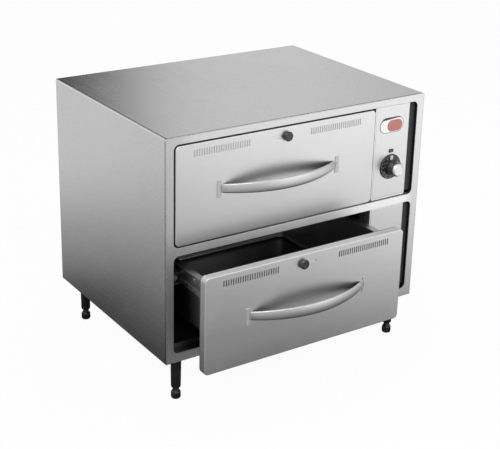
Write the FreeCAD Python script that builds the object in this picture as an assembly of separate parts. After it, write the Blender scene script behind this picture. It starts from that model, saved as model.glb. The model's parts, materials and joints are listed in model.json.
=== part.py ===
import FreeCAD, Part
import math
import os

os.makedirs("parts", exist_ok=True)

# Countertop warming drawer: a two-drawer stainless cabinet on four legs.
# Millimetres. +X to the right, -Y to the front, +Z up, z = 0 under the feet.

# ---------------------------------------------------------------- cabinet sizes
BODY_W = 749.0
BODY_D = 565.0
LEG_H = 115.0
SHEET = 1.2
BEND_R = 4.0
STILE_W = 20.0
TOP_RAIL_H = 18.0
DIVIDER_H = 20.0
BOTTOM_RAIL_H = 23.0
OPENING_H = 249.0
OPENING_R = 14.0
RETURN_D = 24.0
FRAME_FLANGE_D = 14.0
SHELL_RETURN_W = 18.0

# ---------------------------------------------------------------- control bay
SLOT_W = 25.0
PANEL_W = 107.0
PANEL_LEDGE = 7.5
SEAM = 3.0
MULLION_LAP = 9.0
NAME_PLATE_W = 76.0
NAME_PLATE_H = 42.0
NAME_PLATE_T = 0.8
NAME_PLATE_R = 19.0
NAME_PLATE_RISE = 199.0
NAME_PLATE_X = -3.5
KNOB_RISE = 88.0
PILOT_RISE = 130.0
PILOT_W = 12.0
PILOT_H = 7.0
PILOT_D = 20.0
PILOT_BEZEL = 1.4
THERMOSTAT_W = 44.0
THERMOSTAT_H = 50.0
THERMOSTAT_D = 36.0
BUSH_R = 5.0
SHAFT_R = 3.0
SHAFT_REACH = 20.0
SKIRT_R = 33.0
SKIRT_T = 3.2
SKIRT_BEVEL = 1.5
GRIP_FOOT_R = 20.0
GRIP_R = 18.5
GRIP_REACH = 29.0
FLUTES = 14
FLUTE_R = 2.4
FLUTE_DEPTH = 1.1
POINTER_W = 8.0
POINTER_H = 2.0
CAP_R = 17.0
CAP_T = 6.0
CAP_BEVEL = 2.5

# ---------------------------------------------------------------- cavity
SEAL_LAP = 10.0
LINER_T = 1.0
LINER_FLANGE = 10.0
BACK_SPACE = 45.0
CARRIER_BACK_GAP = 30.0
BLANKET_T = 16.0
ELEMENT_R = 4.0
ELEMENT_LIFT = 14.0
ELEMENT_LEGS = 4
ELEMENT_PITCH = 72.0
ELEMENT_FIRST_D = 125.0
ELEMENT_INSET = 95.0
ELEMENT_TAIL = 30.0
ELEMENT_HOLE_BEFORE = 20.0
ELEMENT_HOLE_PAST = 60.0
ELEMENT_FOOT_L = 24.0
ELEMENT_FOOT_T = 2.0
TERMINAL_PLATE_W = 26.0
TERMINAL_PLATE_H = 18.0
TERMINAL_PLATE_T = 2.0

# ---------------------------------------------------------------- drawer front
FRONT_GAP_LEFT = 5.0
FRONT_GAP_BOTTOM = 3.0
FRONT_GAP_TOP = 4.0
FRONT_H = OPENING_H - FRONT_GAP_BOTTOM - FRONT_GAP_TOP
FRONT_EDGE_D = 20.0
FRONT_EDGE_R = 2.0
FRONT_CORNER_R = 11.0
INNER_T = 1.2
GASKET_W = 8.0
GASKET_INSET = 1.0
PAD_GAP = 1.0
LOWER_PULL = 130.0

# ---------------------------------------------------------------- vents
VENT_COUNT = 24
VENT_PITCH = 6.4
VENT_SLOT_W = 2.8
VENT_SLOT_H = 16.0
VENT_DROP = 23.0
VENT_SIDE_INSET = 47.5
VENT_TRAVEL = 5.5 * VENT_PITCH
SHUTTER_T = 1.0
SHUTTER_MARGIN_X = 5.0
SHUTTER_MARGIN_Z = 5.0
GUIDE_LIP = 3.0
VENT_KNOB_R = 12.0
VENT_KNOB_REACH = 10.0
VENT_STEM_R = 3.0

# ---------------------------------------------------------------- bow handle
HANDLE_SPAN = 332.0
HANDLE_REACH = 48.0
HANDLE_H = 28.0
HANDLE_END_H = 22.0
HANDLE_T = 5.0
HANDLE_CROWN = 2.5
HANDLE_TRIM = 1.0
TAB_W = 11.0
TAB_H = 43.0
TAB_T = 2.0

# ---------------------------------------------------------------- roller slides
RAIL_T = 1.5
RAIL_DROP = 69.0
RAIL_RISE = OPENING_H - RAIL_DROP
ROLLER_R = 12.0
ROLLER_W = 9.0
AXLE_R = 4.0
AXLE_HEAD_R = 6.0
AXLE_HEAD_T = 1.2
RUNNING = 0.05
ROLL_GAP = 0.3
SIDE_GAP = 1.5
CHANNEL_W = 14.5
CHANNEL_BACK_GAP = 8.0
ROLLER_INSET = 16.0

# ---------------------------------------------------------------- carrier and pan
CARRIER_H = 51.0
CARRIER_FLANGE = 12.0
CARRIER_SCREW_X = 70.0
CARRIER_SCREW_PITCH = 130.0
RAIL_WEB_RISE = 24.0
RAIL_SCREW_RISE = 12.0
RAIL_NOSE = 6.0
FLANGE_GAP = 2.0
PAN_T = 1.0
PAN_DEPTH = 150.0
PAN_CORNER_R = 28.0
PAN_FLOOR_R = 12.0
PAN_DRAFT = 5.0
PAN_CLEAR = 2.0

# ---------------------------------------------------------------- legs and feet
LEG_INSET_X = 45.0
LEG_INSET_FRONT = 32.0
LEG_INSET_BACK = 45.0
LEG_TOP_R = 13.0
LEG_LOW_R = 12.0
LEG_END_Z = 30.0
LEG_FLANGE_R = 16.5
LEG_FLANGE_T = 2.5
LEG_STUD_R = 5.0
LEG_STUD_L = 12.0
NUT_R = 9.0
NUT_H = 6.0
FOOT_R = 12.0
FOOT_H = 21.0
FOOT_STEM_R = 8.0
FOOT_STEM_TOP = 64.0
FOOT_TIP_R = 10.0

# ---------------------------------------------------------------- back and fasteners
CABLE_R = 7.0
BUSHING_NECK_R = 11.0
BUSHING_FLANGE_R = 15.0
BUSHING_L = 12.0
BUSHING_FROM_RIGHT = 80.0
BUSHING_RISE = 60.0
BACK_VENTS = 8
BACK_VENT_W = 70.0
BACK_VENT_H = 6.0
BACK_VENT_PITCH = 16.0
SCREW_R = 2.0
SCREW_HEAD_R = 4.0
SCREW_HEAD_T = 2.0
SCREW_L = 6.0
TERMINAL_W = 60.0
TERMINAL_D = 26.0
TERMINAL_H = 22.0
TERMINAL_POLES = 3
TERMINAL_WELL_R = 6.0
TERMINAL_WELL_DEPTH = 8.0
TERMINAL_FROM_BACK = 90.0
BACK_VENT_DROP = 80.0
BACK_SCREW_INSET = 40.0
TOUCH = 0.3

# ---------------------------------------------------------------- derived places
BODY_H = BOTTOM_RAIL_H + 2 * OPENING_H + DIVIDER_H + TOP_RAIL_H
FRONT_Y = (LOWER_PULL + HANDLE_REACH - BODY_D - SCREW_HEAD_T) / 2
BACK_Y = FRONT_Y + BODY_D
LEFT_X = -BODY_W / 2
RIGHT_X = BODY_W / 2
BOTTOM_Z = LEG_H
TOP_Z = LEG_H + BODY_H
OPEN_LEFT = LEFT_X + STILE_W
OPEN_RIGHT = RIGHT_X - STILE_W
PANEL_RIGHT = OPEN_RIGHT - SLOT_W
PANEL_LEFT = PANEL_RIGHT - PANEL_W
FRONT_LEFT = OPEN_LEFT + FRONT_GAP_LEFT
FRONT_RIGHT = PANEL_LEFT - SEAM
DRAWER_X = (FRONT_LEFT + FRONT_RIGHT) / 2
VENT_GRID_HALF = ((VENT_COUNT - 1) * VENT_PITCH + VENT_SLOT_W) / 2
VENT_GRID_X = (FRONT_RIGHT - FRONT_LEFT) / 2 - VENT_SIDE_INSET - VENT_GRID_HALF
MOUTH_LEFT = FRONT_LEFT + SEAL_LAP
MOUTH_RIGHT = FRONT_RIGHT - SEAL_LAP
MULLION_RIGHT = PANEL_LEFT + MULLION_LAP
SEAL_Y = FRONT_Y + RETURN_D
LINER_Y = SEAL_Y + SHEET
BACK_PANEL_Y = BACK_Y - 2 * SHEET
LINER_BACK_Y = BACK_PANEL_Y - BACK_SPACE - BLANKET_T - LINER_T
CARRIER_D = LINER_BACK_Y - CARRIER_BACK_GAP - FRONT_Y - FRONT_EDGE_D
LOWER_Z = BOTTOM_Z + BOTTOM_RAIL_H
UPPER_Z = LOWER_Z + OPENING_H + DIVIDER_H
# level, bottom of its opening, how far its drawer is pulled out, vent shutter's end (-1 open, 1 closed)
LEVELS = (("lower", LOWER_Z, LOWER_PULL, -1), ("upper", UPPER_Z, 0.0, 1))
CONTROL_X = (PANEL_LEFT + PANEL_RIGHT) / 2
PAN_RIM_Z = RAIL_RISE - ROLLER_R + CARRIER_H


def vec(x, y, z):
    return FreeCAD.Vector(x, y, z)


X_AXIS = vec(1, 0, 0)
Y_AXIS = vec(0, 1, 0)
Z_AXIS = vec(0, 0, 1)


# ---------------------------------------------------------------- shape helpers
def block(x0, x1, y0, y1, z0, z1):
    """Box between two corners."""
    return Part.makeBox(x1 - x0, y1 - y0, z1 - z0, vec(x0, y0, z0))


def runs_along(edge, axis):
    """True for a straight edge parallel to the axis."""
    if not isinstance(edge.Curve, Part.Line):
        return False
    return abs(abs(edge.Curve.Direction.dot(axis)) - 1) < 1e-6


def rounded_block(x0, x1, y0, y1, z0, z1, axis, radius):
    """Box whose four edges along one axis are rounded."""
    solid = block(x0, x1, y0, y1, z0, z1)
    return solid.makeFillet(radius, [e for e in solid.Edges if runs_along(e, axis)])


def round_face(solid, radius, y):
    """Round the edges of a box's front face, the face at this y."""
    rim = [e for e in solid.Edges if abs(e.BoundBox.YMin - y) + abs(e.BoundBox.YMax - y) < 1e-4]
    return solid.makeFillet(radius, rim)


def cylinder(radius, length, base, axis):
    return Part.makeCylinder(radius, length, base, axis)


def fuse(solids):
    """One solid from touching or overlapping ones, with merged faces."""
    return solids[0].multiFuse(solids[1:]).removeSplitter()


def cut(solid, tools):
    return solid.cut(Part.makeCompound(tools)) if tools else solid


def turned(points, base, axis):
    """Solid of revolution: (radius, height) points about an axis standing at base."""
    wire = Part.makePolygon([vec(r, 0, h) for r, h in points + points[:1]])
    solid = Part.Face(wire).revolve(vec(0, 0, 0), Z_AXIS, 360)
    solid.Placement = FreeCAD.Placement(base, FreeCAD.Rotation(Z_AXIS, axis))
    return solid


def mirrored_pair(solid):
    """The solid and its mirror image about the drawer's middle plane."""
    return [solid, solid.mirror(vec(DRAWER_X, 0, 0), X_AXIS)]


def save(name, shape):
    shape.exportStep("parts/" + name + ".step")


def screw(head_base, direction):
    """Dome-headed screw: the head stands out along direction, the shank runs the other way."""
    head = [(0, 0), (SCREW_HEAD_R, 0), (SCREW_HEAD_R, SCREW_HEAD_T * 0.4),
            (SCREW_HEAD_R * 0.6, SCREW_HEAD_T), (0, SCREW_HEAD_T)]
    shank = cylinder(SCREW_R, SCREW_L, head_base - direction * SCREW_L, direction)
    return turned(head, head_base, direction).fuse(shank)


def screw_hole(head_base, direction):
    return cylinder(SCREW_R, 2 * SCREW_L, head_base - direction * SCREW_L, direction)


# ---------------------------------------------------------------- cabinet
def wrap_outline(inset, y0, y1):
    """Body outline set in by some amount, with the two top edges rounded."""
    solid = block(LEFT_X + inset, RIGHT_X - inset, y0, y1, BOTTOM_Z, TOP_Z - inset)
    top_edges = [e for e in solid.Edges if runs_along(e, Y_AXIS) and e.BoundBox.ZMin > BOTTOM_Z + 1]
    return solid.makeFillet(BEND_R - inset, top_edges)


def back_screw_places():
    """Screws through the rear returns: along the top and down both sides."""
    inset = SHELL_RETURN_W / 2
    rows = [BOTTOM_Z + BACK_SCREW_INSET + i * (BODY_H / 2 - BACK_SCREW_INSET) for i in range(3)]
    sides = [vec(x, BACK_Y, z) for z in rows for x in (LEFT_X + inset, RIGHT_X - inset)]
    return sides + [vec(x, BACK_Y, TOP_Z - inset) for x in (-BODY_W / 4, 0, BODY_W / 4)]


def outer_shell():
    """Top and sides in one wrap, with returns along the bottom and round the back."""
    wrap = wrap_outline(0, FRONT_Y, BACK_Y).cut(wrap_outline(SHEET, FRONT_Y, BACK_Y))
    foot_returns = [
        block(LEFT_X + SHEET, LEFT_X + SHELL_RETURN_W, FRONT_Y, BACK_Y, BOTTOM_Z, BOTTOM_Z + SHEET),
        block(RIGHT_X - SHELL_RETURN_W, RIGHT_X - SHEET, FRONT_Y, BACK_Y, BOTTOM_Z, BOTTOM_Z + SHEET),
    ]
    window = block(LEFT_X + SHELL_RETURN_W, RIGHT_X - SHELL_RETURN_W, BACK_Y - SHEET, BACK_Y,
                   BOTTOM_Z, TOP_Z - SHELL_RETURN_W)
    rear_return = wrap_outline(0, BACK_Y - SHEET, BACK_Y).cut(window)
    shell = fuse([wrap, rear_return] + foot_returns)
    return cut(shell, [screw_hole(p, Y_AXIS) for p in back_screw_places()])


def opening(z0, grow, y0, y1):
    """Prism of one front opening, grown by some amount all round."""
    return rounded_block(OPEN_LEFT - grow, OPEN_RIGHT + grow, y0, y1,
                         z0 - grow, z0 + OPENING_H + grow, Y_AXIS, OPENING_R + grow)


def mouth(z0, grow, y0, y1):
    """Prism of the cavity's mouth, which the drawer front laps all round."""
    z_low = z0 + FRONT_GAP_BOTTOM + SEAL_LAP
    z_high = z0 + FRONT_GAP_BOTTOM + FRONT_H - SEAL_LAP
    return block(MOUTH_LEFT - grow, MOUTH_RIGHT + grow, y0, y1, z_low - grow, z_high + grow)


def front_frame():
    """Face sheet with its two openings, their returns, and the seal plate behind the drawers."""
    inner = wrap_outline(SHEET, FRONT_Y, FRONT_Y + FRAME_FLANGE_D)
    sleeve = wrap_outline(2 * SHEET, FRONT_Y + SHEET, FRONT_Y + FRAME_FLANGE_D)
    floor_gap = block(LEFT_X + SHEET, RIGHT_X - SHEET, FRONT_Y + SHEET, FRONT_Y + FRAME_FLANGE_D,
                      BOTTOM_Z, BOTTOM_Z + 2 * SHEET)
    face = inner.cut(sleeve.fuse(floor_gap))
    corner_relief = [
        block(LEFT_X + SHEET, LEFT_X + SHELL_RETURN_W, FRONT_Y, FRONT_Y + FRAME_FLANGE_D,
              BOTTOM_Z, BOTTOM_Z + SHEET),
        block(RIGHT_X - SHELL_RETURN_W, RIGHT_X - SHEET, FRONT_Y, FRONT_Y + FRAME_FLANGE_D,
              BOTTOM_Z, BOTTOM_Z + SHEET),
    ]
    returns = [opening(z0, SHEET, FRONT_Y, SEAL_Y) for _, z0, _, _ in LEVELS]
    seal_low = LOWER_Z - SHEET
    seal_high = UPPER_Z + OPENING_H + SHEET
    seal = block(OPEN_LEFT - SHEET, MULLION_RIGHT, SEAL_Y, LINER_Y, seal_low, seal_high)
    solid = fuse([face, seal] + returns)
    holes = [opening(z0, 0, FRONT_Y - 1, SEAL_Y) for _, z0, _, _ in LEVELS]
    holes += [mouth(z0, 0, SEAL_Y - 1, LINER_Y + 1) for _, z0, _, _ in LEVELS]
    return cut(solid, holes + corner_relief)


def cable_centre():
    return vec(RIGHT_X - BUSHING_FROM_RIGHT, BACK_Y, BOTTOM_Z + BUSHING_RISE)


def back_panel():
    """Flat sheet inside the rear returns, slotted behind the control bay."""
    y0 = BACK_PANEL_Y
    y1 = BACK_PANEL_Y + SHEET
    sheet = block(LEFT_X + SHEET, RIGHT_X - SHEET, y0, y1, BOTTOM_Z + 2 * SHEET, TOP_Z - 2 * SHEET)
    corner = [e for e in sheet.Edges if runs_along(e, Y_AXIS) and e.BoundBox.ZMin > BOTTOM_Z + 10]
    sheet = sheet.makeFillet(BEND_R, corner)
    centre = cable_centre()
    holes = [cylinder(BUSHING_NECK_R, 10, vec(centre.x, y0 - 1, centre.z), Y_AXIS)]
    for i in range(BACK_VENTS):
        low = TOP_Z - BACK_VENT_DROP - i * BACK_VENT_PITCH
        holes.append(block(centre.x - BACK_VENT_W / 2, centre.x + BACK_VENT_W / 2, y0 - 1, y1 + 1,
                           low, low + BACK_VENT_H))
    holes += [screw_hole(p, Y_AXIS) for p in back_screw_places()]
    return cut(sheet, holes)


def cable_bushing():
    """Grommet in the knockout: a flange outside, a neck through the sheet, a collar inside."""
    flange_t = SHEET
    neck_end = flange_t + SHEET
    profile = [(CABLE_R, 0), (BUSHING_FLANGE_R, 0), (BUSHING_FLANGE_R, flange_t),
               (BUSHING_NECK_R, flange_t), (BUSHING_NECK_R, neck_end),
               (BUSHING_NECK_R + 1.5, neck_end), (BUSHING_NECK_R + 1.5, neck_end + 2),
               (BUSHING_NECK_R - 1.5, BUSHING_L), (CABLE_R, BUSHING_L)]
    return turned(profile, cable_centre(), vec(0, -1, 0))


def leg_places():
    """(name, x, y) of the four legs."""
    left = LEFT_X + LEG_INSET_X
    right = RIGHT_X - LEG_INSET_X
    front = FRONT_Y + LEG_INSET_FRONT
    rear = BACK_Y - LEG_INSET_BACK
    return [("front_left", left, front), ("front_right", right, front),
            ("rear_left", left, rear), ("rear_right", right, rear)]


def bottom_panel():
    """Floor sheet lying on the bottom returns, drilled for the leg studs."""
    z0 = BOTTOM_Z + SHEET
    sheet = block(LEFT_X + SHEET, RIGHT_X - SHEET, FRONT_Y + FRAME_FLANGE_D, BACK_PANEL_Y, z0, z0 + SHEET)
    upstand = block(LEFT_X + SHELL_RETURN_W, RIGHT_X - SHELL_RETURN_W, BACK_PANEL_Y - SHEET, BACK_PANEL_Y,
                    z0, z0 + SHELL_RETURN_W)
    holes = [cylinder(LEG_STUD_R, 10, vec(x, y, z0 - 4), Z_AXIS) for _, x, y in leg_places()]
    return cut(fuse([sheet, upstand]), holes)


def leg(x, y):
    """Tapered leg with a mounting flange, a stud and its nut, bored for the foot's stem."""
    top = BOTTOM_Z + SHEET
    bore_r = FOOT_STEM_R + RUNNING
    bore_top = FOOT_STEM_TOP + 4
    seat = top + SHEET
    profile = [(bore_r, LEG_END_Z), (LEG_LOW_R - 1, LEG_END_Z), (LEG_LOW_R, LEG_END_Z + 2),
               (LEG_TOP_R, top - LEG_FLANGE_T - 14), (LEG_TOP_R, top - LEG_FLANGE_T),
               (LEG_FLANGE_R, top - LEG_FLANGE_T), (LEG_FLANGE_R, top), (LEG_STUD_R, top),
               (LEG_STUD_R, top + LEG_STUD_L), (0, top + LEG_STUD_L), (0, bore_top), (bore_r, bore_top)]
    corners = [vec(x + NUT_R * math.cos(math.radians(a)), y + NUT_R * math.sin(math.radians(a)), seat)
               for a in range(0, 361, 60)]
    nut = Part.Face(Part.makePolygon(corners)).extrude(vec(0, 0, NUT_H))
    return turned(profile, vec(x, y, 0), Z_AXIS).fuse(nut)


def foot(x, y):
    """Bullet foot on a turning stem."""
    stem_r = FOOT_STEM_R
    profile = [(0, 0), (FOOT_TIP_R, 0), (FOOT_R, 3), (FOOT_R, FOOT_H - 5), (FOOT_R - 2, FOOT_H - 1.5),
               (FOOT_R - 3.5, FOOT_H), (stem_r, FOOT_H), (stem_r, FOOT_STEM_TOP), (0, FOOT_STEM_TOP)]
    return turned(profile, vec(x, y, 0), Z_AXIS)


def liner(z0):
    """Cavity box, open at the front, with a flange on the seal plate and holes for the element."""
    box = mouth(z0, LINER_T, LINER_Y, LINER_BACK_Y + LINER_T)
    flange = mouth(z0, LINER_FLANGE, LINER_Y, LINER_Y + LINER_T)
    solid = box.fuse(flange).cut(mouth(z0, 0, LINER_Y - 1, LINER_BACK_Y))
    return cut(solid, element_holes(z0, ELEMENT_R + TOUCH))


def insulation(z0):
    """Blanket round the liner's four walls and back."""
    y0 = LINER_Y + LINER_T
    y1 = LINER_BACK_Y + LINER_T
    sleeve = mouth(z0, LINER_T + BLANKET_T, y0, y1 + BLANKET_T).cut(mouth(z0, LINER_T, y0 - 1, y1))
    return cut(sleeve, element_holes(z0, ELEMENT_R + TOUCH))


# ---------------------------------------------------------------- heating element
def element_depths():
    return [LINER_Y + ELEMENT_FIRST_D + i * ELEMENT_PITCH for i in range(ELEMENT_LEGS)]


def element_z(z0):
    return z0 + FRONT_GAP_BOTTOM + SEAL_LAP + ELEMENT_LIFT


def element_holes(z0, radius):
    """Clearance holes through the right wall for the two ends of the element."""
    depths = element_depths()
    length = ELEMENT_HOLE_BEFORE + ELEMENT_HOLE_PAST
    return [cylinder(radius, length, vec(MOUTH_RIGHT - ELEMENT_HOLE_BEFORE, y, element_z(z0)), X_AXIS)
            for y in (depths[0], depths[-1])]


def heating_element(z0):
    """Tube bent back and forth over the cavity floor, on small feet, its ends through the wall."""
    z = element_z(z0)
    depths = element_depths()
    bend_r = ELEMENT_PITCH / 2
    left = MOUTH_LEFT + ELEMENT_INSET
    right = MOUTH_RIGHT - ELEMENT_INSET
    end_x = MOUTH_RIGHT + ELEMENT_TAIL
    edges = []
    start = vec(end_x, depths[0], z)
    for i, y in enumerate(depths):
        going_left = i % 2 == 0
        last = i == len(depths) - 1
        turn_x = left if going_left else right
        stop = vec(end_x if last else turn_x, y, z)
        edges.append(Part.LineSegment(start, stop).toShape())
        if last:
            break
        side = -1 if going_left else 1
        middle = vec(turn_x + side * bend_r, y + bend_r, z)
        start = vec(turn_x, y + ELEMENT_PITCH, z)
        edges.append(Part.Arc(stop, middle, start).toShape())
    section = Part.Wire(Part.makeCircle(ELEMENT_R, vec(end_x, depths[0], z), X_AXIS))
    tube = Part.Wire(edges).makePipeShell([section], True, False)
    floor = z - ELEMENT_LIFT
    pieces = [tube]
    for y in depths:
        for x in (left + ELEMENT_FOOT_L, right - ELEMENT_FOOT_L):
            pieces.append(block(x - ELEMENT_FOOT_T, x + ELEMENT_FOOT_T, y - ELEMENT_FOOT_L / 2,
                                y + ELEMENT_FOOT_L / 2, floor, z + ELEMENT_R + 1))
    for y in (depths[0], depths[-1]):
        half = TERMINAL_PLATE_W / 2
        pieces.append(block(MOUTH_RIGHT - TERMINAL_PLATE_T, MOUTH_RIGHT, y - half, y + half,
                            floor, floor + TERMINAL_PLATE_H))
    return fuse(pieces)


# ---------------------------------------------------------------- control bay
def control_panel(z0):
    """Folded panel beside the drawer, with holes for the thermostat and the pilot light."""
    low = z0 + PANEL_LEDGE
    high = z0 + OPENING_H
    outer = round_face(block(PANEL_LEFT, PANEL_RIGHT, FRONT_Y, SEAL_Y, low, high), FRONT_EDGE_R, FRONT_Y)
    hollow = block(PANEL_LEFT + SHEET, PANEL_RIGHT - SHEET, FRONT_Y + SHEET, SEAL_Y + 1,
                   low + SHEET, high - SHEET)
    pilot_z = z0 + PILOT_RISE
    holes = [cylinder(BUSH_R, 10, vec(CONTROL_X, FRONT_Y - 5, z0 + KNOB_RISE), Y_AXIS),
             block(CONTROL_X - PILOT_W / 2, CONTROL_X + PILOT_W / 2, FRONT_Y - 5, FRONT_Y + 5,
                   pilot_z - PILOT_H / 2, pilot_z + PILOT_H / 2)]
    return cut(outer, [hollow] + holes)


def thermostat(z0):
    """Thermostat body behind the panel, its bush through the hole and its shaft out in front."""
    z = z0 + KNOB_RISE
    back = FRONT_Y + SHEET
    body = block(CONTROL_X - THERMOSTAT_W / 2, CONTROL_X + THERMOSTAT_W / 2, back, back + THERMOSTAT_D,
                 z - THERMOSTAT_H / 2, z + THERMOSTAT_H / 2)
    bush = cylinder(BUSH_R, SHEET, vec(CONTROL_X, FRONT_Y, z), Y_AXIS)
    shaft = cylinder(SHAFT_R, SHAFT_REACH + SHEET, vec(CONTROL_X, FRONT_Y - SHAFT_REACH, z), Y_AXIS)
    return fuse([body, bush, shaft])


def pilot_light(z0):
    """Rectangular neon lamp: a bezel on the panel and its body through the hole."""
    z = z0 + PILOT_RISE
    body = block(CONTROL_X - PILOT_W / 2, CONTROL_X + PILOT_W / 2, FRONT_Y, FRONT_Y + PILOT_D,
                 z - PILOT_H / 2, z + PILOT_H / 2)
    bezel = block(CONTROL_X - PILOT_W / 2 - 1, CONTROL_X + PILOT_W / 2 + 1, FRONT_Y - PILOT_BEZEL, FRONT_Y,
                  z - PILOT_H / 2 - 1, z + PILOT_H / 2 + 1)
    return fuse([body, bezel])


def thermostat_knob(z0):
    """Dial skirt with a raised pointer and a fluted, tapered grip, bored for the shaft."""
    base = vec(CONTROL_X, FRONT_Y - TOUCH, z0 + KNOB_RISE)
    forward = vec(0, -1, 0)
    profile = [(0, 0), (SKIRT_R - 1, 0), (SKIRT_R, 1), (SKIRT_R - SKIRT_BEVEL, SKIRT_T),
               (GRIP_FOOT_R, SKIRT_T), (GRIP_R, GRIP_REACH), (0, GRIP_REACH)]
    body = turned(profile, base, forward)
    dial = base.y - SKIRT_T
    pointer = block(base.x - POINTER_W / 2, base.x + POINTER_W / 2, dial - POINTER_H, dial,
                    base.z + GRIP_FOOT_R - POINTER_W, base.z + SKIRT_R - 2 * SKIRT_BEVEL)
    bore = cylinder(SHAFT_R + RUNNING, SHAFT_REACH + 1, base + vec(0, 0.5, 0), forward)
    flutes = []
    for i in range(FLUTES):
        angle = 2 * math.pi * (i + 0.5) / FLUTES
        ring = GRIP_FOOT_R - FLUTE_DEPTH + FLUTE_R
        at = base + vec(ring * math.sin(angle), -SKIRT_T - POINTER_H, ring * math.cos(angle))
        flutes.append(cylinder(FLUTE_R, GRIP_REACH, at, forward))
    return cut(fuse([body, pointer]), [bore] + flutes)


def knob_cap(z0):
    """Bright cap on the front of the knob."""
    base = vec(CONTROL_X, FRONT_Y - TOUCH - GRIP_REACH, z0 + KNOB_RISE)
    profile = [(0, 0), (CAP_R, 0), (CAP_R, CAP_T - CAP_BEVEL), (CAP_R - CAP_BEVEL, CAP_T), (0, CAP_T)]
    return turned(profile, base, vec(0, -1, 0))


def name_plate():
    """Blank plate on the upper control panel."""
    x = CONTROL_X + NAME_PLATE_X
    z = UPPER_Z + NAME_PLATE_RISE
    return rounded_block(x - NAME_PLATE_W / 2, x + NAME_PLATE_W / 2, FRONT_Y - NAME_PLATE_T, FRONT_Y,
                         z - NAME_PLATE_H / 2, z + NAME_PLATE_H / 2, Y_AXIS, NAME_PLATE_R)


def terminal_block():
    """Three-pole block on the floor of the control bay."""
    x = cable_centre().x
    y = BACK_Y - TERMINAL_FROM_BACK
    z = BOTTOM_Z + 2 * SHEET
    body = block(x - TERMINAL_W / 2, x + TERMINAL_W / 2, y - TERMINAL_D / 2, y + TERMINAL_D / 2,
                 z, z + TERMINAL_H)
    pole = TERMINAL_W / TERMINAL_POLES
    wells = []
    for i in range(TERMINAL_POLES):
        at = vec(x + (i - (TERMINAL_POLES - 1) / 2) * pole, y, z + TERMINAL_H - TERMINAL_WELL_DEPTH)
        wells.append(cylinder(TERMINAL_WELL_R, TERMINAL_WELL_DEPTH, at, Z_AXIS))
    return cut(body, wells)


# ---------------------------------------------------------------- drawer
def front_box(z0, pull, grow, d0, d1):
    """Prism of the drawer front's rounded outline, grown by some amount, between two depths."""
    low = z0 + FRONT_GAP_BOTTOM
    y = FRONT_Y - pull
    high = low + FRONT_H
    return rounded_block(FRONT_LEFT - grow, FRONT_RIGHT + grow, y + d0, y + d1, low - grow, high + grow,
                         Y_AXIS, FRONT_CORNER_R + grow)


def vent_z(z0):
    return z0 + FRONT_GAP_BOTTOM + FRONT_H - VENT_DROP


def vent_x(end):
    """Middle of the shutter when it stands at one end of its travel."""
    return DRAWER_X + end * VENT_TRAVEL / 2


def vent_slots(z0, y0, y1, shift):
    """Both grids of upright slots, as cutting tools."""
    z = vent_z(z0)
    tools = []
    for grid in (-VENT_GRID_X, VENT_GRID_X):
        for i in range(VENT_COUNT):
            x = DRAWER_X + grid + (i - (VENT_COUNT - 1) / 2) * VENT_PITCH + shift
            tools.append(block(x - VENT_SLOT_W / 2, x + VENT_SLOT_W / 2, y0, y1,
                               z - VENT_SLOT_H / 2, z + VENT_SLOT_H / 2))
    return tools


def shutter_half_width():
    return VENT_GRID_X + VENT_GRID_HALF + VENT_TRAVEL / 2 + SHUTTER_MARGIN_X


def shutter_half_height():
    return VENT_SLOT_H / 2 + SHUTTER_MARGIN_Z


def drawer_front(z0, pull):
    """Folded front: rounded face, deep edges, vent slots, the knob's slot and the shutter guides."""
    y = FRONT_Y - pull
    outer = round_face(front_box(z0, pull, 0, 0, FRONT_EDGE_D), FRONT_EDGE_R, y)
    skin = outer.cut(front_box(z0, pull, -SHEET, SHEET, FRONT_EDGE_D + 1))
    z = vent_z(z0)
    half_w = shutter_half_width() + VENT_TRAVEL / 2 + TOUCH
    front = y + SHEET
    lip = front + TOUCH + SHUTTER_T + TOUCH
    guides = []
    for side in (-1, 1):
        near = side * (shutter_half_height() + TOUCH)
        far = side * (shutter_half_height() + TOUCH + SHEET)
        over = side * (shutter_half_height() - GUIDE_LIP)
        for a, b, y0, y1 in ((near, far, front, lip + SHEET), (over, far, lip, lip + SHEET)):
            guides.append(block(DRAWER_X - half_w, DRAWER_X + half_w, y0, y1, z + min(a, b), z + max(a, b)))
    stem_gap = VENT_STEM_R + TOUCH
    knob_slot = block(vent_x(-1) - stem_gap, vent_x(1) + stem_gap, y - 1, front, z - stem_gap, z + stem_gap)
    return cut(fuse([skin] + guides), vent_slots(z0, y - 1, front, 0) + [knob_slot])


def vent_shutter(z0, pull, end):
    """Slotted slide behind the face: its slots meet the front's slots at the left end only."""
    y = FRONT_Y - pull + SHEET + TOUCH
    x = vent_x(end)
    z = vent_z(z0)
    plate = block(x - shutter_half_width(), x + shutter_half_width(), y, y + SHUTTER_T,
                  z - shutter_half_height(), z + shutter_half_height())
    return cut(plate, vent_slots(z0, y - 1, y + 2, x - vent_x(-1)))


def vent_knob(z0, pull, end):
    """Round knob on a stem that passes the front's slot to the shutter."""
    face = FRONT_Y - pull
    stem_l = SHEET + TOUCH
    profile = [(0, -stem_l), (VENT_STEM_R, -stem_l), (VENT_STEM_R, TOUCH), (VENT_KNOB_R - 2, TOUCH),
               (VENT_KNOB_R - 2, 3), (VENT_KNOB_R, 5), (VENT_KNOB_R, VENT_KNOB_REACH - 2),
               (VENT_KNOB_R - 2, VENT_KNOB_REACH), (0, VENT_KNOB_REACH)]
    return turned(profile, vec(vent_x(end), face, vent_z(z0)), vec(0, -1, 0))


def inner_screw_places(z0, pull):
    """Screws through the carrier's front wall into the inner panel."""
    y = FRONT_Y - pull + FRONT_EDGE_D + RAIL_T
    z = z0 + PAN_RIM_Z - CARRIER_H / 2
    near = CARRIER_SCREW_X
    far = CARRIER_SCREW_X + CARRIER_SCREW_PITCH
    return [vec(DRAWER_X + x, y, z) for x in (-far, -near, near, far)]


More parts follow.
